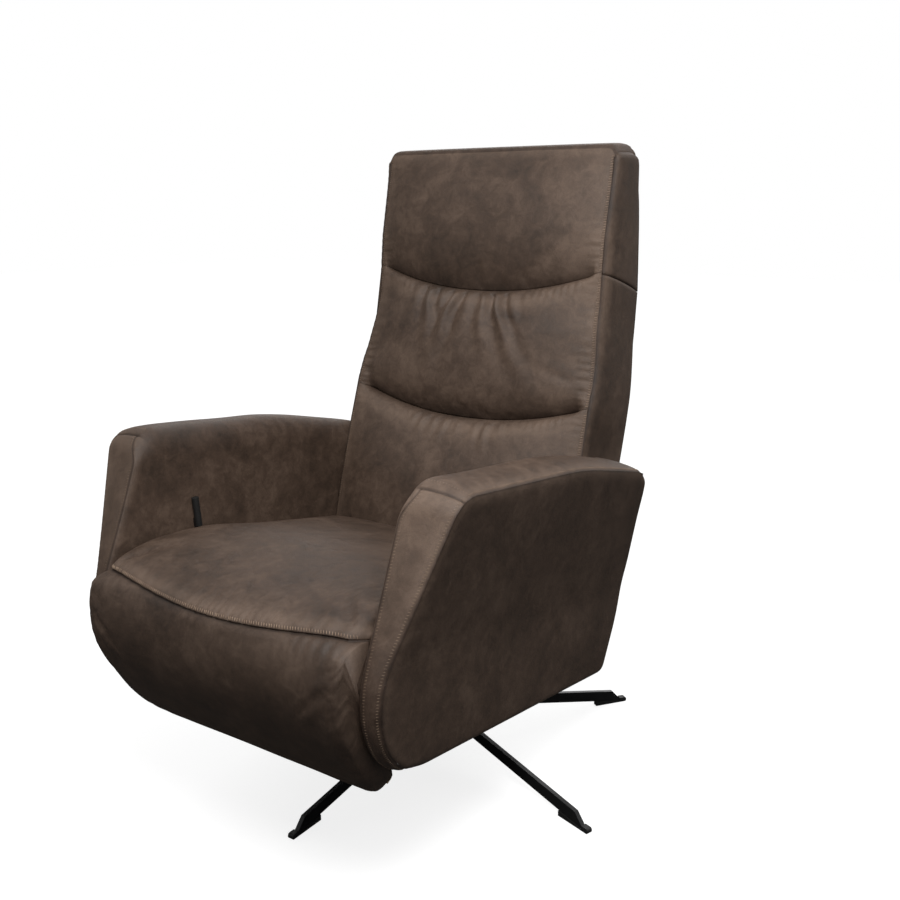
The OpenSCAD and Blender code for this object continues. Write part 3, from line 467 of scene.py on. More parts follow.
rest = rest + n * (0.0011 * gather * ridge + 0.0009 * hump(end_far, 3, 12) * face * side_ridge
                   + 0.0016 * soft)[..., None]
rest = rest - n * (0.0012 * hump(far, 0, 2.2) * seam)[..., None]
# Painted highlight: a pale band below the seam that grows towards +X; the pale ends are edge wear. Painted
# shade: the seam mask darkens the seam
loft("leg_rest_pad", rest, {
    "wear_and_painted_light": (0.5 * hump(far, 34, 26) * smooth_step(x, -60, 200) + 0.25 * hump(end_far, 0, 8)) * face,
    "dark_seam_and_painted_shade": hump(far, 0, 2.4) * seam})
print("leg rest", rest.shape, "front at", (rest[..., 1].min() * 1000).round(1), "mm")

# %% [markdown]
# ## Back cushions
# The back is sewn from three padded parts. Each fold between them dips in the middle like a
# smile, because the leather is pulled in towards the board there. The upper part always hangs
# over the lower one a little, and the slack below a fold gathers into short pleats.

# %% Lines of the back
BACK_HALF = 248
BACK_LOW, LOW_FOLD, HIGH_FOLD, BACK_HIGH = -58, 283, 526, 738
FOLD_DIP = 45
FRONT_SIDE = ([-58, 60, 204, 287, 359, 464, 582, 700, 736], [22, 20, 24, 27, 37, 38, 19, 13, 8])
SIDES_APART = ([-58, 204, 330, 420], [13, 13, 9, 0])
FRONT_MID = ([-58, 37, 113, 160, 230, 274, 330, 409, 478, 529, 600, 680, 736],
             [0, -1, -4, 3, 14, 20, 19, 14, 19, 14, 5, 2, 5])
HINGE_FRONT = 34
OVER_THE_TOP = np.array([(0.6, 4), (3, 8), (8, 11.5), (16, 15), (34, 21), (60, 28)])
REAR = 85.7


def half_at(z):
    """Half width of the back: the lower part fills the space between the arms."""
    return BACK_HALF + 8 * (1 - smooth_step(z, 310, 470))


def corner_drop(x):
    """How far the headrest's top falls towards its rounded corners."""
    return 17 * (1 - np.sqrt(1 - 0.98 * np.clip((np.abs(x) - 230) / 18, 0, 1) ** 2))


def fold_at(height, x):
    """Height of a fold: the given one at the sides, and lower by FOLD_DIP in the middle."""
    return height - FOLD_DIP * (1 - np.clip(np.abs(x) / BACK_HALF, 0, 1) ** 2.2)


def side_depth(z, side):
    """Depth of a side seam. Low down the used cushions lean a little more to the sitter's right."""
    return np.interp(z, *FRONT_SIDE) + np.sign(side) * np.interp(z, *SIDES_APART)


def front_depth(t, z):
    side, mid = side_depth(z, t), np.interp(z, *FRONT_MID)
    return mid + (side - mid) * (0.45 * abs(t) ** 2.4 + 0.55 * abs(t) ** 7)


print("folds in the middle at", fold_at(LOW_FOLD, 0), "and", fold_at(HIGH_FOLD, 0), "mm up the back")

# %% [markdown]
# ### One padded part
# A part is full in the middle of its height and rolls in at both folds. Where the headrest's
# hinges sit behind the upper fold, the cushions stay in front of them.


# %% Shape of a padded part
def back_part_ring(t, low, high, roll_low, roll_high, puff):
    """Front from low to high, the top, the rear and the foot. A roll is (reach, depth) at a fold."""
    z = low + (high - low) * (0.5 - 0.5 * np.cos(np.linspace(0, math.pi, FACE_POINTS)))
    up = (z - low) / (high - low)
    y = front_depth(t, z) - puff * (1 - abs(t) ** 4) * np.sin(math.pi * up) ** 0.8
    hold = 1 - smooth_step(abs(t), 0.88, 0.965)
    headrest = high > 700
    for near, (reach, depth), ends in ((z - low, roll_low, hold),
                                       (high - z, roll_high, 1 if headrest else hold)):
        q = np.clip(1 - near / reach, 0, 1)
        y = y + depth * ends * (1 - np.sqrt(np.maximum(0, 1 - q ** 2)))
    if abs(t) < 0.52:
        at_hinge = (high - z < 30) & (high < 500) | (z - low < 40) & (low > 460)
        y[at_hinge] = np.minimum(y, HINGE_FRONT)[at_hinge]
    if headrest:
        top, end = OVER_THE_TOP + [y[-1], high], high + 26
    else:
        top, end = np.stack([np.linspace(y[-1], REAR, 6)[1:-1], np.full(4, high)], -1), high
    back = np.stack([np.full(11, REAR), np.linspace(end, low, 11)], -1)
    foot = np.stack([np.linspace(REAR, y[0], 6)[1:-1], np.full(4, low)], -1)
    return np.concatenate([np.stack([y, z], -1), top, back, foot])


def back_part(name, low, high, *rolls_and_puff):
    """low and high give heights for x in millimetres; makes a fine grid in metres."""
    grid = []
    for t in STATIONS:
        ring = back_part_ring(t, low(BACK_HALF * t), high(BACK_HALF * t), *rolls_and_puff)
        grid.append(np.column_stack([half_at(ring[:, 1]) * t, ring]))
    return soften(name, in_back(np.stack(grid)), slice(3, 46), pressure=3.0, cap=0.008)


def back_coordinates(grid):
    """x, depth and height in the back frame, in millimetres, of points in metres."""
    y, z = grid[..., 1] * 1000 - BACK_AT[0], grid[..., 2] * 1000 - BACK_AT[1]
    c, s = math.cos(BACK_LEAN), math.sin(BACK_LEAN)
    return grid[..., 0] * 1000, y * c - z * s, y * s + z * c


def pleats(x, below, reach, places, width):
    """Ridges below a fold. Each has its x at the fold, its size, its length and how far it drifts aside."""
    total = np.zeros_like(x)
    down = np.clip(below, 0, 220)
    for k, (at, size, length, drift) in enumerate(places):
        line = at + drift * (down / 70) ** 1.3 + 2.2 * np.sin(down / 13 + k * 2.4)
        across = (x - line) / (width * (1 + down / 150))
        ridge = hump(across, 0, 1) - 0.45 * hump(np.abs(across), 1.7, 0.9)
        total += size * ridge * np.exp(-(down / (reach * length)) ** 2.2) * (below > -30)
    return total


TOWARD_SITTER = np.array([0, -math.cos(BACK_LEAN), math.sin(BACK_LEAN)])


def crumple(grid, seed, fold=None, places=(), reach=0, width=0, depth=0):
    """Adds soft waves, tucks at the sides and, below a fold, pleats and fine gathers to the front."""
    x, _, z = back_coordinates(grid)
    amount = 1.2 * waves(grid, 0.12, seed)
    if places:
        below = fold_at(fold, x) - z
        fine = np.sin(x / 2.3 + 1.5 * np.sin(x / 31)) * (0.5 + 0.5 * np.sin(x / 43 + seed))
        amount += depth * pleats(x, below, reach, places, width) * smooth_step(below, 3, 14)
        amount += 0.7 * fine * hump(below, 14, 12) * (np.abs(x) < 215)
    side = half_at(z) - np.abs(x)
    tuck = np.sin(z / 2.9 + 2.4 * np.sin(z / 19)) + 0.5 * np.sin(z / 1.6 + 1.7 * np.sin(z / 27))
    tuck *= 0.18 + 0.9 * hump(z, 335, 62) + 0.4 * hump(z, 560, 30)
    amount = (amount + 1.1 * tuck * hump(side, 14, 15)) * smooth_step(side, 0, 12) - 2.4 * hump(side, 0, 6)
    front = np.arange(grid.shape[1]) < FACE_ROWS
    return grid + TOWARD_SITTER * (amount / 1000 * front)[..., None]


# %% [markdown]
# ### The three parts
# The pleats are where the photo shows them: long ones that spread under the headrest's fold,
# short ones under the lower fold. The reach, width and depth of the pleats differ per fold.

# %% Make the back cushions
PLEATS_LOW = [(-100, 0.5, 0.7, -8), (-74, 0.9, 0.9, -6), (-50, 0.6, 0.7, -4), (-26, 0.9, 1, -4),
              (8, 0.5, 0.8, 0), (40, 0.6, 0.8, 6), (66, 1, 1.1, 8), (96, 0.5, 0.7, 10)]
PLEATS_HIGH = [(-136, 0.45, 0.6, -10), (-104, 1.0, 1.0, 4), (-74, 0.35, 0.6, -8), (-44, 1.25, 1.3, -15),
               (-14, 0.4, 0.7, -6), (16, 0.95, 0.85, 10), (46, 1.2, 1.2, 24), (78, 0.4, 0.6, 14)]
GAP = 0.3
lumbar = back_part("lumbar", lambda x: BACK_LOW, lambda x: fold_at(LOW_FOLD, x) - GAP, (24, 24), (16, 17), 14)
shoulder = back_part("shoulder", lambda x: fold_at(LOW_FOLD, x) + GAP, lambda x: fold_at(HIGH_FOLD, x) - GAP,
                     (62, 27), (16, 12), 12)
head = back_part("head", lambda x: fold_at(HIGH_FOLD, x) + GAP, lambda x: BACK_HIGH - corner_drop(x),
                 (72, 14), (20, 0), 10)
lumbar = crumple(lumbar, 3, LOW_FOLD, PLEATS_LOW, 38, 6, 5.0)
shoulder = crumple(shoulder, 4, HIGH_FOLD, PLEATS_HIGH, 96, 7.5, 8.5)
head = crumple(head, 5)
for name, grid in (("lumbar_pad", lumbar), ("shoulder_pad", shoulder), ("headrest_pad", head)):
    x, y, z = back_coordinates(grid)
    from_foot, from_top = z - z.min(1, keepdims=True), z.max(1, keepdims=True) - z
    side = half_at(z) - np.abs(x)
    front = np.arange(grid.shape[1]) < FACE_ROWS
    near_fold = 1.3 * hump(from_foot, 0, 20) + (name != "headrest_pad") * 1.2 * hump(from_top, 0, 6)
    # Paler bands below each top and beside the sides. Painted light: a pale tone over the whole front, more
    # towards +X where the light falls. Painted shade: the seam mask darkens the folds and the side seams
    loft(name, grid, {
        "wear_and_painted_light": np.clip((0.75 * hump(from_top, 26, 15) + 0.4 * hump(side, 9, 16)
                         + 0.15 + 0.4 * smooth_step(x, 90, 230)) * front, 0, 1),
        "dark_seam_and_painted_shade": np.clip((near_fold * 0.6 * (np.abs(x) < 232) + 0.8 * hump(side, 0, 2)) * front, 0, 1)})


SEWN = slice(5, 87)


def side_rows(grid, inset=5.5):
    """Points and normals of a stitch row beside each side seam of a back cushion."""
    out = normals(grid, True)
    out *= np.sign((out[20:-20, 30:60] @ TOWARD_SITTER).mean())
    x = np.abs(grid[:, FACE_ROWS // 2, 0] * 1000)
    rows = []
    for half in (np.arange(0, MIDDLE), np.arange(2 * MIDDLE, MIDDLE, -1)):
        i = half[np.argmin(np.abs(x[half] - (x.max() - inset)))]
        rows.append((grid[i, SEWN], out[i, SEWN]))
    return rows


stitch_object("back_stitches", side_rows(lumbar) + side_rows(shoulder), length=0.006)
stitch_object("headrest_stitches", side_rows(head), length=0.006)
print("back cushions", lumbar.shape, shoulder.shape, head.shape)

# %% [markdown]
# ## Sides and rear of the back
# A boxing strip closes each side of the back, from the seam beside the cushions to the rear
# cover. The rear cover is a padded panel that wraps the frame, fullest at shoulder height, and
# on the headrest it runs over the top and ends at the front seam.

# %% Sides and rear of the back
JOINT = 520
REAR_LOW = curve_through([(166, -58), (190, 40), (205, 170), (210, 300), (202, 420), (187, 520)], 121)
REAR_HIGH = curve_through([(187, 522), (168, 582), (149, 640), (129, 692), (112, 732), (102, 753), (91, 765),
                           (79, 768)], 81)


def rear_cover(name, profile, thick, seed):
    """Padded panel along a rear profile of (depth, height) points, pulled in at its four seams."""
    across = np.sin(np.linspace(-math.pi / 2, math.pi / 2, 81)) * 0.5 + np.linspace(-1, 1, 81) * 0.5
    out = np.stack([np.gradient(profile[:, 1]), -np.gradient(profile[:, 0])], -1)
    out /= np.linalg.norm(out, axis=1, keepdims=True)
    far = distances(profile)
    x = across[:, None] * 250 * np.ones(len(profile))
    a, b = 250 - np.abs(x), np.minimum(far, far[-1] - far) * np.ones_like(x)
    full = (1 - np.exp(-a / 9)) * (1 - np.exp(-b / 9))
    rise = -5.0 + 7.0 * full
    outer = np.stack([x, profile[:, 0] + rise * out[:, 0], profile[:, 1] + rise * out[:, 1]], -1)
    inner = np.stack([x * 0.985, 0 * x + profile[:, 0] - thick * out[:, 0],
                      0 * x + profile[:, 1] - thick * out[:, 1]], -1)
    outer[..., 1:] += (waves(outer, 170, seed) * 1.6 * full)[..., None] * out
    corner = corner_drop(x * 0.992) * smooth_step(profile[:, 1], 670, 755)
    outer[..., 2] -= corner
    inner[..., 2] -= corner
    # The seam mask darkens the side seams: partly a dark seam line, partly painted shade in the pulled-in
    # seam
    plate(name, in_back(outer), in_back(inner), {
        "wear_and_painted_light": np.clip(0.5 * hump(a, 0, 9) + 0.35 * hump(b, 0, 9), 0, 1), "dark_seam_and_painted_shade": hump(a, 0, 4)})


rear_cover("back_cover", REAR_LOW, 12, 6)
rear_cover("headrest_cover", REAR_HIGH, 11, 7)


def boxing(name, side, front_line, rear_line, seed, top_line=None):
    """Side strip between two lines of (depth, height) points with the same number of points."""
    w = np.linspace(0, 1, 33)[:, None]
    flat = front_line * (1 - w[..., None]) + rear_line * w[..., None]
    if top_line is not None:
        share = np.linspace(0, 1, len(front_line))[None, :, None] ** 4
        flat = flat + (top_line[:, None] - flat[:, -1:]) * share
    z = flat[..., 1]
    a = np.minimum(w, 1 - w) * np.linalg.norm(rear_line - front_line, axis=1)
    far = distances(front_line)
    b = np.minimum(far, far[-1] - far) * np.ones_like(a)
    full = 1 - np.exp(-b / 2) * (0.12 + 0.88 * smooth_step(np.abs(z - JOINT), 30, 60))
    round_over = (1 - np.abs(2 * w ** 0.75 - 1) ** 2.4) ** 0.8
    soft = waves(np.concatenate([flat, flat[..., :1]], -1), 90, seed)
    bulge = (2.8 + 9.7 * smooth_step(z, 190, 300) + 0.7 * soft) * round_over * full
    tuck = 0.35 * np.sin(z / 2.2 + np.sin(z / 23)) * hump(a, 8, 7) * (w < 0.5)
    outer = np.concatenate([side * (half_at(z) - 0.9 + bulge + tuck)[..., None], flat], -1)
    inner = np.concatenate([side * (half_at(z) - 3.8)[..., None], flat], -1)
    # The seam mask darkens the edges: partly a dark seam line, partly painted shade in the seams
    plate(name, in_back(outer), in_back(inner), {
        "wear_and_painted_light": np.clip(0.6 * hump(a, 6, 9), 0, 1), "dark_seam_and_painted_shade": hump(a, 0, 2.2) + 0.25 * hump(b, 0, 2)})


low_z, high_z = np.linspace(46, JOINT - 0.4, 96), np.linspace(JOINT + 0.4, 722.4, 48)
rear_low = np.stack([np.interp(low_z, REAR_LOW[:, 1], REAR_LOW[:, 0]) - 2, low_z], -1)
rear_high = evenly(REAR_HIGH[REAR_HIGH[:, 1] < BACK_HIGH], 48) - [[3, 1.6]]
lid_line = evenly(np.array([(11.5, 722.4), (12, 728), (15, 733), (24, 737), (42, 743), (62, 749), (78, 751),
                            (90, 749), (101, 739), (107.5, 729)]), 33)
for side, tag in ((1, "left"), (-1, "right")):
    front_low, front_high = [np.stack([side_depth(z, side) + 0.8, z], -1) for z in (low_z, high_z)]
    lid_line[0] = front_high[-1]
    boxing("back_side_" + tag, side, front_low, rear_low, 8 + side)
    boxing("headrest_side_" + tag, side, front_high, rear_high, 11 + side, lid_line)
print("boxing depth at the joint", (rear_low[-1] - front_low[-1]).round(1))

# %% [markdown]
# ## Arms
# Each arm is a thin panel with padding over its top and front. Seen from the side it is a
# rounded outline; the outer face stands almost upright at the foot and flares out above the
# waist, so the top is three times as wide. The leather of the inner face runs over the top in one
# piece, with a soft edge. Seams follow the outer edge, both sides of the front and its top corner.

# %% Outline and widths of an arm
ARM_IN, ARM_TOP, ARM_WAIST, ARM_FOOT = 262, 355, 299, 289
WAIST_Z, CROWN_Z, SOFT_BEND = 180, 412, 26
COVER = 1.5
ARM_CORNERS = [(-507 - 404 * math.tan(math.radians(14.2)), 8, 135), (136, 8, 25), (176, 165, 300),
               (104, 405, 30), (-170, 428, 900), (-507, CROWN_Z, 42)]
STEP = 5.0


def rounded(corners, steps):
    """Outline with an arc at each corner, given as y, z and radius."""
    points = []
    for i, (y, z, r) in enumerate(corners):
        at = np.array([y, z])
        before = at - np.array(corners[i - 1][:2])
        after = np.array(corners[(i + 1) % len(corners)][:2]) - at
        n1 = np.array([before[1], -before[0]]) / np.linalg.norm(before)
        n2 = np.array([after[1], -after[0]]) / np.linalg.norm(after)
        middle = at - r / (1 + n1 @ n2) * (n1 + n2)
        turn, start = math.acos(min(1, n1 @ n2)), math.atan2(n1[1], n1[0])
        for a in start + turn * np.arange(steps + 1) / steps:
            points.append(middle + r * np.array([math.cos(a), math.sin(a)]))
    return np.array(points)


corner_points = rounded(ARM_CORNERS, 24)
ARM_LINE = evenly(np.concatenate([corner_points, corner_points[:1]]), 420, closed=True)
along = np.roll(ARM_LINE, -1, 0) - np.roll(ARM_LINE, 1, 0)
ARM_NORMAL = np.stack([along[:, 1], -along[:, 0]], -1) / np.linalg.norm(along, axis=1, keepdims=True)


def arm_outer_x(z):
    """Where the padding of the outer face starts: steep below the waist, flared above, with a soft bend."""
    lean, flare = (ARM_WAIST - ARM_FOOT) / WAIST_Z, (ARM_TOP - ARM_WAIST) / (CROWN_Z - WAIST_Z)
    low, high = ARM_FOOT + lean * np.maximum(z, 0), ARM_WAIST + flare * (z - WAIST_Z)
    bend = low + (z - WAIST_Z + SOFT_BEND) ** 2 / (4 * SOFT_BEND) * (flare - lean)
    return np.where(z < WAIST_Z - SOFT_BEND, low, np.where(z > WAIST_Z + SOFT_BEND, high, bend)) - COVER


def outline_mark(y, z):
    """Index of the outline point nearest to a given one."""
    return int(np.argmin(np.hypot(ARM_LINE[:, 0] - y, ARM_LINE[:, 1] - z)))


REAR_TOP, FRONT_TOP, FOOT_END = outline_mark(76, 410), outline_mark(-499, 409), outline_mark(-498, 20)
print("arm outline marks", REAR_TOP, FRONT_TOP, FOOT_END, "points 5 mm apart:",
      round(float(np.linalg.norm(ARM_LINE[1] - ARM_LINE[0])), 1))

# %% [markdown]
# ### Sections of an arm
# A section starts on the inner face, turns over a soft edge, whose radius is large on the top and
# small down the front, and falls from the crown to the outer seam. Below and behind, the outer
# leather wraps round the edge instead, so its seam is out of sight on the narrow rear face.

# %% Widths and radii along the outline
VALLEY = 1.3
ARC, OVER = 12, 26
count = len(ARM_LINE)
index = np.arange(count)


def round_trip(start, end):
    """Indices along the outline from start to end, passing zero if needed."""
    return np.arange(start, end + (count if end < start else 0) + 1) % count


def from_start(run):
    """Distance of each point of a run from its first one."""
    return STEP * np.arange(len(run))


top_run, front_run = round_trip(REAR_TOP, FRONT_TOP), round_trip(FRONT_TOP, FOOT_END)
rest_run = round_trip(FOOT_END, REAR_TOP)
crown = np.full(count, 2.5)
crown[top_run], crown[front_run] = 15, 9
for _ in range(60):
    crown = (np.roll(crown, 1) + crown * 2 + np.roll(crown, -1)) / 4
soft_edge = np.full(count, 4.0)
soft_edge[top_run] = (6 + 28 * smooth_step(from_start(top_run), 0, 90)
                      - 10 * (1 - smooth_step(from_start(top_run)[::-1], 0, 80)))
soft_edge[front_run] = 24 - 19 * smooth_step(from_start(front_run), 0, 45)
wrapped = np.zeros(count)
wrapped[rest_run] = smooth_step(np.minimum(from_start(rest_run), from_start(rest_run)[::-1]), 0, 40)
lobe = (4.0 * hump(np.hypot(ARM_LINE[:, 0] - 128, ARM_LINE[:, 1] - 376), 0, 32)
        - 5.0 * hump(np.hypot(ARM_LINE[:, 0] - 92, ARM_LINE[:, 1] - 406), 0, 20))


def along_outline(values, s):
    """Values of the outline at fractional positions."""
    i = np.floor(s).astype(int)
    t = s - i
    a, b = values[i % count], values[(i + 1) % count]
    return a + (b - a) * (t[:, None] if values.ndim > 1 else t)


def positions(run):
    """Positions along a run, with a few more close to its two ends, where the cross seams are."""
    near = np.array([0, 0.15, 0.32, 0.52, 0.76])
    return run[0] + np.concatenate([near, np.arange(1, len(run) - 2), len(run) - 1 - near[::-1]])


def over_outline(side, x, h, s):
    """Grid of points at x across the chair, and at a height h over the outline at positions s."""
    p, n = along_outline(ARM_LINE, s)[:, None], along_outline(ARM_NORMAL, s)[:, None]
    n = n / np.linalg.norm(n, axis=-1, keepdims=True)
    return np.stack([side * x, p[..., 0] + h * n[..., 0], p[..., 1] + h * n[..., 1]], -1)


# %% [markdown]
# The sections make the top, the front and the soft edge of the inner face. Both side faces are
# filled with rings that shrink towards a middle point, and a narrow strip closes foot and rear.


# %% Grids of an arm's pieces
def arm_section(side, s, front, seed=20):
    """Sections at positions s, their masks, and the distance of each point from its section's start."""
    z = along_outline(ARM_LINE, s)[:, 1:]
    r, c = along_outline(soft_edge, s)[:, None], along_outline(crown, s)[:, None]
    a = (1 - (1 - np.linspace(0, 1, ARC + 1)) ** 1.8) * math.pi / 2
    q = (0.5 - 0.5 * np.cos(np.linspace(0, math.pi, OVER + 1)))[1:]
    x = np.concatenate([ARM_IN + r * (1 - np.cos(a)), ARM_IN + r + (arm_outer_x(z) - ARM_IN - r) * q], 1)
    h = np.concatenate([-r + (r + c) * np.sin(a), c * (1 - q ** 2.6)], 1)
    steps = np.hypot(np.diff(x, axis=1), np.diff(h, axis=1))
    far = np.concatenate([np.zeros_like(r), np.cumsum(steps, axis=1)], 1)
    edge = far[:, ARC:ARC + 1]
    out_far, in_far, cross = far[:, -1:] - far, np.abs(far - edge), np.abs(s - FRONT_TOP)[:, None] * STEP
    reach = smooth_step(far, edge * 0.75, edge)
    rear_end = 1 - smooth_step(np.abs(s - REAR_TOP), 0, 3)[:, None]
    h = h - VALLEY * hump(out_far, 0, 2.2) - 6.0 * rear_end * (front == 0) * smooth_step(far, 5, 30)
    h = h - 0.8 * front * hump(in_far, 0, 1.5)
    fade = np.concatenate([np.sin(a), 1 - q ** 3])[None, :]
    h = h + waves(over_outline(side, x, 0 * x, s), 110, seed) * 1.6 * fade
    h = h + 0.25 * np.sin(s * 2.6 + 1.4 * np.sin(s * 0.21))[:, None] * hump(out_far, 5, 5)
    h = h - 1.6 * hump(cross, 0, 2) * reach - 2.2 * hump(cross, 0, 7) * hump(out_far, 0, 7)
    # Painted light and shade on the front strip: paler high up and darker low down, as less light falls
    # towards the floor. The pale bands beside the seams are edge wear
    high = smooth_step(z, 150, 330)
    seam = hump(out_far, 0, 2) + hump(cross, 0, 1.8) * reach
    wear_and_painted_light = 0.5 * hump(out_far, 9, 9) + 0.35 * hump(cross, 9, 8) * reach
    if front:
        seam = seam + hump(in_far, 0, 1.8) + 0.3 * (1 - smooth_step(z, 80, 230))
        wear_and_painted_light = wear_and_painted_light * (1 - 0.9 * (1 - high)) + 0.55 * smooth_step(far, 0, edge * 1.4) * high
        wear_and_painted_light = wear_and_painted_light + (0.05 + 0.25 * high) * hump(in_far, 8, 9)
    return over_outline(side, x, h, s), {"wear_and_painted_light": np.clip(wear_and_painted_light, 0, 1), "dark_seam_and_painted_shade": np.clip(seam, 0, 1)}, far


def panel_rings(start):
    """Rings that fill a side panel from its edge inwards, and each point's distance from the edge."""
    middle = np.array([-175.0, 215.0])
    shrink = np.maximum(1 - np.linspace(0, 1, 38) ** 1.8, 0.004)
    rings = middle + (start - middle)[None] * shrink[:, None, None]
    edge = evenly(np.concatenate([start, start[:1]]), count * 4, closed=True)
    d = np.stack([np.sqrt(((ring[:, None] - edge[None]) ** 2).sum(-1)).min(1) for ring in rings])
    d[0] = 0
    return rings, d


below_and_behind = np.isin(index, rest_run[1:-1])
OUTER = panel_rings(ARM_LINE + (lobe - VALLEY * (1 - wrapped))[:, None] * ARM_NORMAL)
INNER = panel_rings(ARM_LINE - np.where(below_and_behind, 3.0, soft_edge)[:, None] * ARM_NORMAL)


def cloudy(rings, side, size, seed):
    """Smooth noise over a side panel, different on each side of the chair."""
    return waves(np.concatenate([rings, np.full(rings.shape[:-1] + (1,), side * 40.0)], -1), size, seed)


def outer_panel(side, seed=23):
    """Flush with the outer seam along the top and front, wrapped round the edge below and behind."""
    rings, d = OUTER
    x = arm_outer_x(rings[..., 1]) + 2.6 * (1 - np.exp(-d / 6)) + 3.2 * (1 - np.exp(-d / 60))
    x = x + cloudy(rings, side, 140, seed) * 2.0 * (1 - np.exp(-d / 30))
    x = x + 0.22 * np.sin(index * 2.3 + 1.5 * np.sin(index * 0.13)) * hump(d, 6, 6) * (1 - wrapped)
    q = 1 - np.clip(d / 16, 0, 1)
    x = x - 13 * wrapped * (1 - np.sqrt(np.maximum(0, 1 - q ** 2)))
    grid = np.concatenate([(side * x)[..., None], rings], -1)
    # The seam mask: a dark seam line with painted shade along it
    return grid, {"wear_and_painted_light": 0.45 * hump(d, 7, 8), "dark_seam_and_painted_shade": hump(d, 0, 2) * (1 - wrapped)}


def inner_panel(side, seed=24):
    """The flat inner face, down to the soft edge. It only has a seam below and behind."""
    rings, d = INNER
    behind = below_and_behind * np.exp(-d / 8)
    x = ARM_IN + 2.6 * behind
    x = x + np.clip(cloudy(rings, side, 130, seed) + 0.4, 0, 1.4) * 0.9 * (1 - np.exp(-d / 25))
    grid = np.concatenate([(side * x)[..., None], rings], -1)
    # The seam mask: a dark seam line with painted shade along it, below and behind
    return grid, {"wear_and_painted_light": 0 * d + 0.1, "dark_seam_and_painted_shade": behind * hump(d, 0, 2.5)}


def edge_strip(side):
    """Narrow face under the foot and up the rear, between the wrapped outer leather and the inner face."""
    s = rest_run[0] + np.arange(len(rest_run)).astype(float)
    w, extra = along_outline(wrapped, s)[:, None], along_outline(lobe, s)[:, None]
    inner, outer = ARM_IN + 2.6, arm_outer_x(along_outline(ARM_LINE, s)[:, 1:]) - 12.6 * w
    u = np.sin(np.linspace(-math.pi / 2, math.pi / 2, 17))[None, :]
    x = (inner + outer) / 2 + (outer - inner) / 2 * u
    h = 2.0 * (1 - np.abs(u) ** 4) - 1.0 + extra * smooth_step(u, -1, 0.6) + w * 0.8
    # The seam mask: dark seam lines with painted shade along them
    return over_outline(side, x, h, s), {"wear_and_painted_light": 0.2 + 0 * h, "dark_seam_and_painted_shade": hump(x, outer, 2) + hump(x, inner, 2)}


# %% [markdown]
# ### Pieces and stitches of an arm
# One mesh can hold several grids: the inner leather is its flat panel and the soft edge beside
# the front strip. Stitches are found on the finished sections, at a set distance from each seam.


# %% Build the arms
def patch(name, *parts):
    """One open mesh from several grids: each is (grid, closed, direction that it faces, masks)."""
    verts, faces, full, start = [], [], {"wear_and_painted_light": [], "dark_seam_and_painted_shade": []}, 0
    for grid, closed, towards, masks in parts:
        n, m = grid.shape[:2]
        own = grid_faces(n, m, closed).tolist()
        points = in_shell(grid).reshape(-1, 3)
        values = {k: np.broadcast_to(masks[k], (n, m)).ravel() for k in full}
        if closed:
            points = np.concatenate([points, [points[-m:].mean(0)]])
            own += [[(n - 1) * m + j, (n - 1) * m + (j + 1) % m, n * m] for j in range(m)]
            values = {k: np.append(v, v[-1]) for k, v in values.items()}
        if (normals(grid, closed).mean((0, 1)) * np.asarray(towards)).sum() > 0:
            own = [f[::-1] for f in own]
        verts.append(points)
        faces += [[i + start for i in f] for f in own]
        for k in full:
            full[k].append(values[k])
        start += len(points)
    mesh_object(name, np.concatenate(verts), faces, {k: np.concatenate(v) for k, v in full.items()})


def on_seam(row, out):
    """A row of points and their normals, from the shell's millimetres to metres."""
    return in_shell(row), in_shell(row + out) - in_shell(row)


def seam_row(grid, far, from_far):
    """Points and outward normals along the sections, at the distances from_far on each of them."""
    out = normals(grid)
    out *= np.sign((out * np.array([0, -0.5, 1])).sum(-1).mean())
    both = np.concatenate([grid, out], -1)
    row = np.array([[np.interp(at, f, g[:, k]) for k in range(6)] for g, f, at in zip(both, far, from_far)])
    return on_seam(row[:, :3], row[:, 3:])


for side, tag in ((1, "left"), (-1, "right")):
    top, top_masks, top_far = arm_section(side, positions(top_run), 0)
    front, front_masks, front_far = arm_section(side, positions(front_run), 1)
    strip, turn = [{k: v[:, part] for k, v in front_masks.items()}
                   for part in (slice(ARC, None), slice(ARC + 1))]
    inner, inner_masks = inner_panel(side)
    outer, outer_masks = outer_panel(side)
    edge, edge_masks = edge_strip(side)
    patch("arm_top_" + tag, (top, False, (-0.3 * side, -0.2, 1), top_masks))
    patch("arm_front_" + tag, (front[:, ARC:], False, (0, -1, 0.2), strip))
    patch("arm_inner_" + tag, (inner, True, (-side, 0, 0), inner_masks),
          (front[:, :ARC + 1], False, (-side, -0.6, 0.1), turn))
    patch("arm_outer_" + tag, (outer, True, (side, 0, 0), outer_masks))
    patch("arm_edge_" + tag, (edge, False, (0, 0.6, -1), edge_masks))
    cross, out = top[-7, ARC - 3:-3], normals(top)[-7, ARC - 3:-3]
    rows = [seam_row(front, front_far, front_far[:, -1] - 5.5), seam_row(top, top_far, top_far[:, -1] - 5),
            seam_row(front, front_far, front_far[:, ARC] + 4.5),
            on_seam(cross, out * np.sign(out[:, 2].mean()))]
    stitch_object("arm_stitches_" + tag, rows, length=0.0038, thick=0.0003)
print("arms ready,", len([k for k in PIECES if k.startswith("arm")]), "pieces")

# %% [markdown]
# ## Which piece moves with what
# Each soft piece says which CAD solids it stands for, which body carries it and how full it is.
# The leg rest's top edge is sewn to the seat; here its piece is left where it is made and is attached to no
# body.

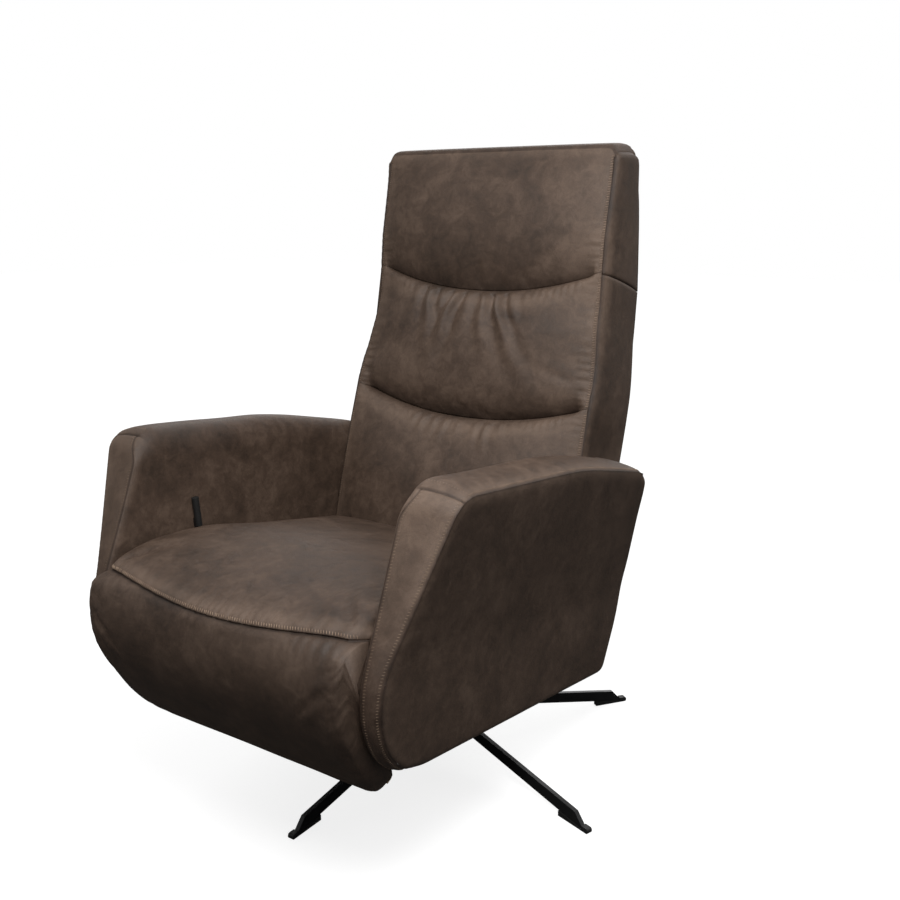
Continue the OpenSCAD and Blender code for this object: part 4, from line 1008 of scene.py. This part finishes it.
# %% Bodies, replaced solids and padding
DRESS = [
    ("seat_pad", "seat", ["seat_cushion"], 0.75),
    ("lumbar_pad", "back", ["lumbar_cushion"], 0.6),
    ("shoulder_pad", "back", ["shoulder_cushion"], 0.6),
    ("headrest_pad", "headrest", ["headrest_cushion"], 0.6),
    ("back_cover", "back", ["back_rear_cover"], 0.4),
    ("headrest_cover", "headrest", ["headrest_rear_cover"], 0.4),
]
for tag in ("left", "right"):
    DRESS += [
        ("back_side_" + tag, "back", ["back_side_panel_" + tag], None),
        ("headrest_side_" + tag, "headrest", ["headrest_side_" + tag], None),
        ("arm_top_" + tag, "carriage", ["arm_top_pad_" + tag], 0.6),
        ("arm_front_" + tag, "carriage", ["arm_front_pad_" + tag], 0.5),
        ("arm_outer_" + tag, "carriage", ["arm_outer_cover_" + tag], 0.3),
        ("arm_edge_" + tag, "carriage", ["arm_outer_cover_" + tag], 0.3),
        ("arm_inner_" + tag, "carriage", ["arm_inner_cover_" + tag], 0.3),
    ]
for name, body, nodes, fill in DRESS:
    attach(PIECES[name], body)
    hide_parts(*nodes)
for name, body in (("seat_stitches", "seat"), ("back_stitches", "back"), ("headrest_stitches", "headrest"),
                   ("arm_stitches_left", "carriage"), ("arm_stitches_right", "carriage")):
    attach(PIECES[name], body)
leg_pad = PIECES["leg_rest_pad"]
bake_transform(leg_pad)
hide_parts("leg_rest_cushion")
print("pieces on their bodies:", len(PIECES))

# %% [markdown]
# ## Leather
# The cover is a brushed, oiled leather: dark brown, with cloudy lighter patches where the oil has
# moved, paler wear along the edges and a fine pebble grain. The pale wear mask also carries painted
# light on faces that the light falls on, and a dark seam mask carries painted shade in seams, folds
# and low down. It is mostly matt with a faint sheen from the brushed nap. The clouds and the grain
# are node groups that all four leathers share.


# %% Node helpers
def settle(made, **values):
    """Sets a node's options, and its input sockets where the name starts with in_."""
    for key, value in values.items():
        if key.startswith("in_"):
            socket = key[3:]
            made.inputs[int(socket) if socket.isdigit() else socket.replace("_", " ")].default_value = value
        else:
            setattr(made, key, value)
    return made


def node(tree, kind, place=(0, 0), **values):
    made = tree.nodes.new("ShaderNode" + kind)
    made.location = place
    return settle(made, **values)


def wire(tree, *pairs):
    for a, b in pairs:
        tree.links.new(a, b)


def new_group(name, inputs, outputs):
    """An empty node group, with the sockets that it gets values from and hands results to."""
    tree = bpy.data.node_groups.new(name, "ShaderNodeTree")
    for key, value in inputs:
        socket = tree.interface.new_socket(name=key, in_out="INPUT", socket_type="NodeSocketFloat")
        socket.default_value = value
    for key in outputs:
        tree.interface.new_socket(name=key, in_out="OUTPUT", socket_type="NodeSocketFloat")
    return tree, tree.nodes.new("NodeGroupInput").outputs, tree.nodes.new("NodeGroupOutput").inputs


def math_node(tree, operation, a, b, place):
    made = node(tree, "Math", place, operation=operation)
    for k, value in enumerate([a, b]):
        if isinstance(value, (int, float)):
            made.inputs[k].default_value = value
        else:
            wire(tree, (value, made.inputs[k]))
    return made.outputs[0]


def noise_node(tree, place, vector, scale, detail, roughness=0.5, distortion=0.0):
    """Fractal noise over a vector; gives the node's outputs."""
    made = node(tree, "TexNoise", place, in_Scale=scale, in_Detail=detail, in_Roughness=roughness,
                in_Distortion=distortion)
    wire(tree, (vector, made.inputs["Vector"]))
    return made.outputs


def ramp(tree, factor, stops, place):
    made = node(tree, "ValToRGB", place)
    for element, (at, colour) in zip(made.color_ramp.elements, stops[:1] + stops[-1:]):
        element.position, element.color = at, (*colour, 1)
    for at, colour in stops[1:-1]:
        made.color_ramp.elements.new(at).color = (*colour, 1)
    wire(tree, (factor, made.inputs[0]))
    return made.outputs["Color"]


def blend_colours(tree, kind, factor, a, b, place):
    made = node(tree, "Mix", place, data_type="RGBA", blend_type=kind)
    for socket, value in ((0, factor), (6, a), (7, b)):
        if isinstance(value, (int, float)):
            made.inputs[socket].default_value = value
        elif isinstance(value, tuple):
            made.inputs[socket].default_value = (*value, 1)
        else:
            wire(tree, (value, made.inputs[socket]))
    return made.outputs[2]


def material(name):
    """A new material, its node tree and its shader."""
    made = bpy.data.materials.new(name)
    made.use_nodes = True
    tree = made.node_tree
    return made, tree, next(n for n in tree.nodes if n.type == "BSDF_PRINCIPLED")


def surface(tree, shader, colour, height, strength, distance, place):
    """Gives a shader its colour and a bump of some strength and distance from a height."""
    bump = node(tree, "Bump", place, in_Strength=strength, in_Distance=distance)
    wire(tree, (colour, shader.inputs["Base Color"]), (height, bump.inputs["Height"]),
         (bump.outputs["Normal"], shader.inputs["Normal"]))


def shades(colour, *factors):
    return [tuple(c * factor for c in colour) for factor in factors]


# %% [markdown]
# ### The two shared groups
# The clouds are broad patches mixed with smaller ones, and flecks that break them up.

# %% Group: clouds of lighter and darker leather
clouds, given, result = new_group("leather_clouds", [("Patch size", 1.0), ("Fleck strength", 0.35)],
                                  ["Clouds", "Flecks"])
place = node(clouds, "TexCoord", (-1100, 0)).outputs["Object"]
sized = node(clouds, "VectorMath", (-900, 0), operation="SCALE")
wire(clouds, (place, sized.inputs[0]), (given["Patch size"], sized.inputs["Scale"]))
large = noise_node(clouds, (-700, 250), sized.outputs[0], 7.0, 5.0, 0.62, 0.9)["Fac"]
small = noise_node(clouds, (-700, 0), sized.outputs[0], 46.0, 7.0, 0.74, 0.6)["Fac"]
fleck = noise_node(clouds, (-700, -250), sized.outputs[0], 420.0, 3.0, 0.75)["Fac"]
mixed = math_node(clouds, "ADD", math_node(clouds, "MULTIPLY", large, 0.52, (-450, 250)),
                  math_node(clouds, "MULTIPLY", small, 0.48, (-450, 0)), (-250, 150))
flecks = math_node(clouds, "MULTIPLY", fleck, given["Fleck strength"], (-250, -250))
wire(clouds, (mixed, result["Clouds"]), (flecks, result["Flecks"]))
print("group", clouds.name, "with", len(clouds.nodes), "nodes")

# %% [markdown]
# The grain is a network of tiny pebbles about a millimetre across, broken up by finer noise, with
# soft wrinkles over it. Its height goes to one bump, so the light catches both at once.

# %% Group: pebble grain and soft wrinkles
grain, given, result = new_group("leather_grain", [("Pebbles per metre", 900.0), ("Grain depth", 1.0),
                                                   ("Wrinkle depth", 1.0)], ["Height", "Valleys"])
place = node(grain, "TexCoord", (-1200, 0)).outputs["Object"]
warp = noise_node(grain, (-1000, -300), place, 60.0, 2.0)["Color"]
bent = node(grain, "VectorMath", (-800, 0), operation="MULTIPLY_ADD", in_1=(0.004, 0.004, 0.004))
pebble = node(grain, "TexVoronoi", (-550, 200), feature="DISTANCE_TO_EDGE")
finer = noise_node(grain, (-550, -50), place, 1500.0, 3.0, 0.6)["Fac"]
wrinkle = noise_node(grain, (-550, -300), place, 26.0, 4.0, 0.55, 1.4)["Fac"]
valley = node(grain, "MapRange", (-330, 200), in_1=0.0, in_2=0.22)
wire(grain, (warp, bent.inputs[0]), (place, bent.inputs[2]), (bent.outputs[0], pebble.inputs["Vector"]),
     (given["Pebbles per metre"], pebble.inputs["Scale"]), (pebble.outputs["Distance"], valley.inputs[0]))
pebbles = math_node(grain, "ADD", math_node(grain, "MULTIPLY", valley.outputs[0], 0.6, (-150, 200)),
                    math_node(grain, "MULTIPLY", finer, 0.4, (-150, 0)), (0, 100))
folds = math_node(grain, "MULTIPLY", wrinkle, 4.0, (-150, -300))
height = math_node(grain, "ADD", math_node(grain, "MULTIPLY", pebbles, given["Grain depth"], (150, 100)),
                   math_node(grain, "MULTIPLY", folds, given["Wrinkle depth"], (150, -200)), (300, 0))
wire(grain, (height, result["Height"]),
     (math_node(grain, "SUBTRACT", 1.0, valley.outputs[0], (0, 300)), result["Valleys"]))
print("group", grain.name, "with", len(grain.nodes), "nodes")

# %% [markdown]
# ### The leather
# The clouds choose between three browns. Wear turns the edges paler, and painted light turns lit
# faces paler through the same mask. Painted shade darkens seams, folds and low parts, and the
# valleys of the grain turn darker. The shade sets how dark a piece is as a whole; on the seat, the
# leg rest and the outer arm panels it is painted shade for less light falling there.

# %% Leather material
DARK, BODY, LIGHT = (0.038, 0.0228, 0.0146), (0.080, 0.0485, 0.0320), (0.148, 0.097, 0.068)
# Pale colour for edge wear, and for painted light on faces the light falls on
WORN_AND_LIT = (0.215, 0.150, 0.110)


def leather(name, shade=1.0, wrinkle=1.0):
    made, tree, shader = material(name)
    tone = node(tree, "Group", (-900, 200), node_tree=clouds, in_Patch_size=1.0, in_Fleck_strength=0.35)
    relief = node(tree, "Group", (-900, -300), node_tree=grain, in_Pebbles_per_metre=850.0,
                  in_Grain_depth=1.0, in_Wrinkle_depth=wrinkle)
    # Wear mask: edge wear, plus painted light where faces are made paler as if lit
    wear_light_mask = node(tree, "Attribute", (-900, 0), attribute_name="wear_and_painted_light")
    dark_seam_and_painted_shade = node(tree, "Attribute", (-900, -130), attribute_name="dark_seam_and_painted_shade")
    dark, body, light, pale = [shades(colour, shade)[0] for colour in (DARK, BODY, LIGHT, WORN_AND_LIT)]
    toned = ramp(tree, tone.outputs["Clouds"], [(0.37, dark), (0.50, body), (0.64, light)], (-650, 200))
    flecked = blend_colours(tree, "OVERLAY", 0.3, toned, tone.outputs["Flecks"], (-400, 200))
    patchy = math_node(tree, "MULTIPLY", tone.outputs["Clouds"], 0.85, (-650, 0))
    rubbed_and_lit = math_node(tree, "MULTIPLY", wear_light_mask.outputs["Fac"], patchy, (-480, 0))
    paler = blend_colours(tree, "MIX", rubbed_and_lit, flecked, pale, (-220, 200))
    # Painted shade: the seam mask darkens the leather at seams and folds, where shade falls, and low on the
    # arm fronts, over a dark seam line
    painted_seam_shade = math_node(tree, "MULTIPLY", dark_seam_and_painted_shade.outputs["Fac"], 0.75, (-300, -50))
    shaded = blend_colours(tree, "MULTIPLY", painted_seam_shade, paler, (0.30, 0.26, 0.24), (0, 200))
    in_valleys = math_node(tree, "MULTIPLY", relief.outputs["Valleys"], 0.35, (0, 0))
    pores = blend_colours(tree, "MULTIPLY", in_valleys, shaded, (0.35, 0.32, 0.3), (180, 200))
    rough = node(tree, "MapRange", (0, -150), in_1=0.3, in_2=0.7, in_3=0.50, in_4=0.66)
    wire(tree, (tone.outputs["Clouds"], rough.inputs[0]), (rough.outputs[0], shader.inputs["Roughness"]))
    surface(tree, shader, pores, relief.outputs["Height"], 0.35, 0.0009, (200, -300))
    settle(shader, in_Specular_IOR_Level=0.42, in_Sheen_Weight=0.10, in_Sheen_Roughness=0.5,
           in_Sheen_Tint=(0.62, 0.42, 0.30, 1))
    return made


LEATHER = leather("brushed_leather")
LEATHER_FLAT = leather("brushed_leather_flat", shade=0.92, wrinkle=0.7)
# Painted shade: a slightly darker copy of the leather for the seat, which the light falls on strongly
LEATHER_SEAT_SHADED = leather("brushed_leather_seat_shaded", shade=0.91)
# Painted shade: a darker copy of the leather for the leg rest and the outer arm panels, where less light
# falls
LEATHER_PAINTED_SHADE = leather("brushed_leather_painted_shade", shade=0.82)
print("leather materials:", LEATHER.name, LEATHER_FLAT.name, LEATHER_SEAT_SHADED.name, LEATHER_PAINTED_SHADE.name)

# %% [markdown]
# ## Thread
# The thread is a twisted polyester a little lighter than the leather. The twist is a fine wave
# across it, too small to see from afar but there in a close view.

# %% Thread material
THREAD, tree, shader = material("sewing_thread")
place = node(tree, "TexCoord", (-900, 0)).outputs["Object"]
twist = node(tree, "TexWave", (-650, 0), wave_type="BANDS", bands_direction="DIAGONAL", in_Scale=900.0,
             in_Distortion=1.0)
uneven = noise_node(tree, (-650, -250), place, 45.0, 2.0)["Fac"]
base = ramp(tree, uneven, [(0.3, (0.20, 0.135, 0.092)), (0.7, (0.33, 0.235, 0.165))], (-400, -200))
turns = math_node(tree, "MULTIPLY", twist.outputs["Fac"], 0.4, (-400, 50))
twisted = blend_colours(tree, "MULTIPLY", turns, base, (0.5, 0.45, 0.4), (-150, 0))
wire(tree, (place, twist.inputs["Vector"]))
surface(tree, shader, twisted, twist.outputs["Fac"], 0.4, 0.0003, (-150, -250))
settle(shader, in_Roughness=0.6)
print("thread:", THREAD.name)

# %% [markdown]
# ## Hard parts
# The star base, lever and frame are steel with a satin black powder coat, which shows a very fine
# orange-peel texture. Pins, bolts and guide bars are zinc plated. Boards are birch plywood, and
# the glides and bushes are nylon.


# %% Metal, nylon and plywood
def smooth_hard(name, colour, metallic, rough_low, rough_high, peel):
    """A plated, coated or moulded surface: faint smears in colour and roughness over a fine peel."""
    made, tree, shader = material(name)
    place = node(tree, "TexCoord", (-900, 0)).outputs["Object"]
    fine = noise_node(tree, (-650, -200), place, 1400.0, 2.0)["Fac"]
    smear = noise_node(tree, (-650, 100), place, 22.0, 5.0, 0.65)["Fac"]
    dull, clear = shades(colour, 0.8, 1.25)
    colours = ramp(tree, smear, [(0.35, dull), (0.7, clear)], (-400, 200))
    rough = node(tree, "MapRange", (-400, 0), in_1=0.3, in_2=0.7, in_3=rough_low, in_4=rough_high)
    wire(tree, (smear, rough.inputs[0]), (rough.outputs[0], shader.inputs["Roughness"]))
    surface(tree, shader, colours, fine, peel, 0.0002, (-150, -250))
    settle(shader, in_Metallic=metallic)
    return made


BLACK = smooth_hard("black_powder_coat", (0.007, 0.007, 0.0075), 0.0, 0.34, 0.48, 0.25)
ZINC = smooth_hard("zinc_plating", (0.52, 0.52, 0.54), 1.0, 0.25, 0.42, 0.12)
NYLON = smooth_hard("black_nylon", (0.010, 0.010, 0.010), 0.0, 0.5, 0.62, 0.35)

PLY, tree, shader = material("birch_plywood")
place = node(tree, "TexCoord", (-1100, 0)).outputs["Object"]
stretch = node(tree, "Mapping", (-900, 0), in_Scale=(3.0, 40.0, 40.0))
rings = noise_node(tree, (-650, 100), stretch.outputs[0], 3.0, 8.0, 0.6, 1.2)["Fac"]
plies = node(tree, "TexWave", (-650, -200), wave_type="BANDS", bands_direction="Z", in_Scale=110.0,
             in_Distortion=0.4)
wood = ramp(tree, rings, [(0.3, (0.42, 0.27, 0.14)), (0.7, (0.68, 0.50, 0.31))], (-400, 100))
glue = math_node(tree, "MULTIPLY", plies.outputs["Fac"], 0.25, (-400, -150))
plied = blend_colours(tree, "MULTIPLY", glue, wood, (0.6, 0.5, 0.4), (-150, 0))
wire(tree, (place, stretch.inputs["Vector"]), (place, plies.inputs["Vector"]),
     (plied, shader.inputs["Base Color"]))
settle(shader, in_Roughness=0.7)
print("hard materials:", BLACK.name, ZINC.name, NYLON.name, PLY.name)

# %% [markdown]
# ## Give every piece its material
# CAD solids that keep showing get their material by the slot that the record gives them.

# %% Assign materials
# The leg rest, the outer arm panels and the seat get darker copies of the leather as painted shade
LEATHERS = (("back_side", LEATHER_FLAT), ("headrest_side", LEATHER_FLAT), ("arm_outer", LEATHER_PAINTED_SHADE),
            ("leg_rest", LEATHER_PAINTED_SHADE), ("seat_pad", LEATHER_SEAT_SHADED), ("", LEATHER))
for name, obj in PIECES.items():
    own = next(made for start, made in LEATHERS if name.startswith(start))
    obj.data.materials.append(THREAD if "stitches" in name else own)
SLOTS = {"leather_over_foam": LEATHER, "leather_skin": LEATHER_FLAT, "plywood": PLY, "nylon": NYLON,
         "bright_steel": ZINC, "black_steel": BLACK, "lever_grip": NYLON}
for part in frame["record"]["subparts"]:
    obj = frame["nodes"][part["node"]]
    made = SLOTS[part["material_slot"]]
    if not obj.material_slots:
        obj.data.materials.append(made)
    for slot_of in obj.material_slots:
        slot_of.material = made

# %% [markdown]
# ## Floor, light and backdrop
# A pale floor that the camera sees as nearly white, while it throws little light back on the chair.

# %% Floor
floor_mesh = bpy.data.meshes.new("floor")
bm = bmesh.new()
bmesh.ops.create_grid(bm, x_segments=2, y_segments=2, size=14)
bm.to_mesh(floor_mesh)
bm.free()
floor = bpy.data.objects.new("floor", floor_mesh)
bpy.context.scene.collection.objects.link(floor)
floor.location.z = -0.0005
FLOOR, tree, shader = material("studio_floor")
seen = node(tree, "LightPath", (-700, 0)).outputs["Is Camera Ray"]
tone = blend_colours(tree, "MIX", seen, (0.06, 0.06, 0.06), (0.42, 0.42, 0.42), (-400, 0))
glow = math_node(tree, "MULTIPLY", seen, 0.80, (-400, -200))
wire(tree, (tone, shader.inputs["Base Color"]), (glow, shader.inputs["Emission Strength"]))
settle(shader, in_Emission_Color=(1, 1, 1, 1), in_Roughness=0.9, in_Specular_IOR_Level=0.0)
floor.data.materials.append(FLOOR)

# %% [markdown]
# The surrounding is white to the camera. For all else it is much brighter above than below, as in
# a catalogue studio.

# %% Backdrop
world = bpy.data.worlds.new("studio")
bpy.context.scene.world = world
world.use_nodes = True
sky = world.node_tree
background = settle(sky.nodes["Background"], in_0=(1, 1, 1, 1))
seen = node(sky, "LightPath").outputs["Is Camera Ray"]
sides = node(sky, "TexCoord")
apart = node(sky, "SeparateXYZ")
height = node(sky, "MapRange", in_1=-0.3, in_2=0.9, in_3=0.03, in_4=0.60)
strength = node(sky, "Mix", in_3=1.0)
wire(sky, (sides.outputs["Generated"], apart.inputs[0]), (apart.outputs["Z"], height.inputs[0]),
     (seen, strength.inputs[0]), (height.outputs[0], strength.inputs[2]),
     (strength.outputs[0], background.inputs[1]))
bpy.context.scene.view_settings.view_transform = "Standard"

# %% [markdown]
# A softbox hangs close above the chair on its left. Two weak and very wide lights from behind
# give the rims.


# %% Lights
def light(name, kind, **values):
    data = bpy.data.lights.new(name, kind)
    obj = bpy.data.objects.new(name, settle(data, **values))
    bpy.context.scene.collection.objects.link(obj)
    return obj


def shine(obj, towards):
    """Turns a light so that it shines along a vector."""
    obj.rotation_euler = towards.to_track_quat("-Z", "Y").to_euler()


def sun(name, azimuth, height, strength, angle):
    """Even light from one side: azimuth is counted from the chair's front towards +X."""
    a, h = math.radians(azimuth), math.radians(height)
    source = Vector((math.sin(a) * math.cos(h), -math.cos(a) * math.cos(h), math.sin(h)))
    shine(light(name, "SUN", energy=strength, angle=math.radians(angle)), -source)


softbox = light("softbox", "AREA", shape="DISK", size=0.9, energy=29)
softbox.location = (0.75, -0.92, 1.85)
softbox.visible_camera = False
shine(softbox, Vector((0, -0.1, 0.6)) - softbox.location)
sun("rim", 150, 33, 0.5, 40)
sun("rear", 208, 25, 0.7, 40)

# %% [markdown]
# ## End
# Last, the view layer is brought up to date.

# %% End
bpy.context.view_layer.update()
import json
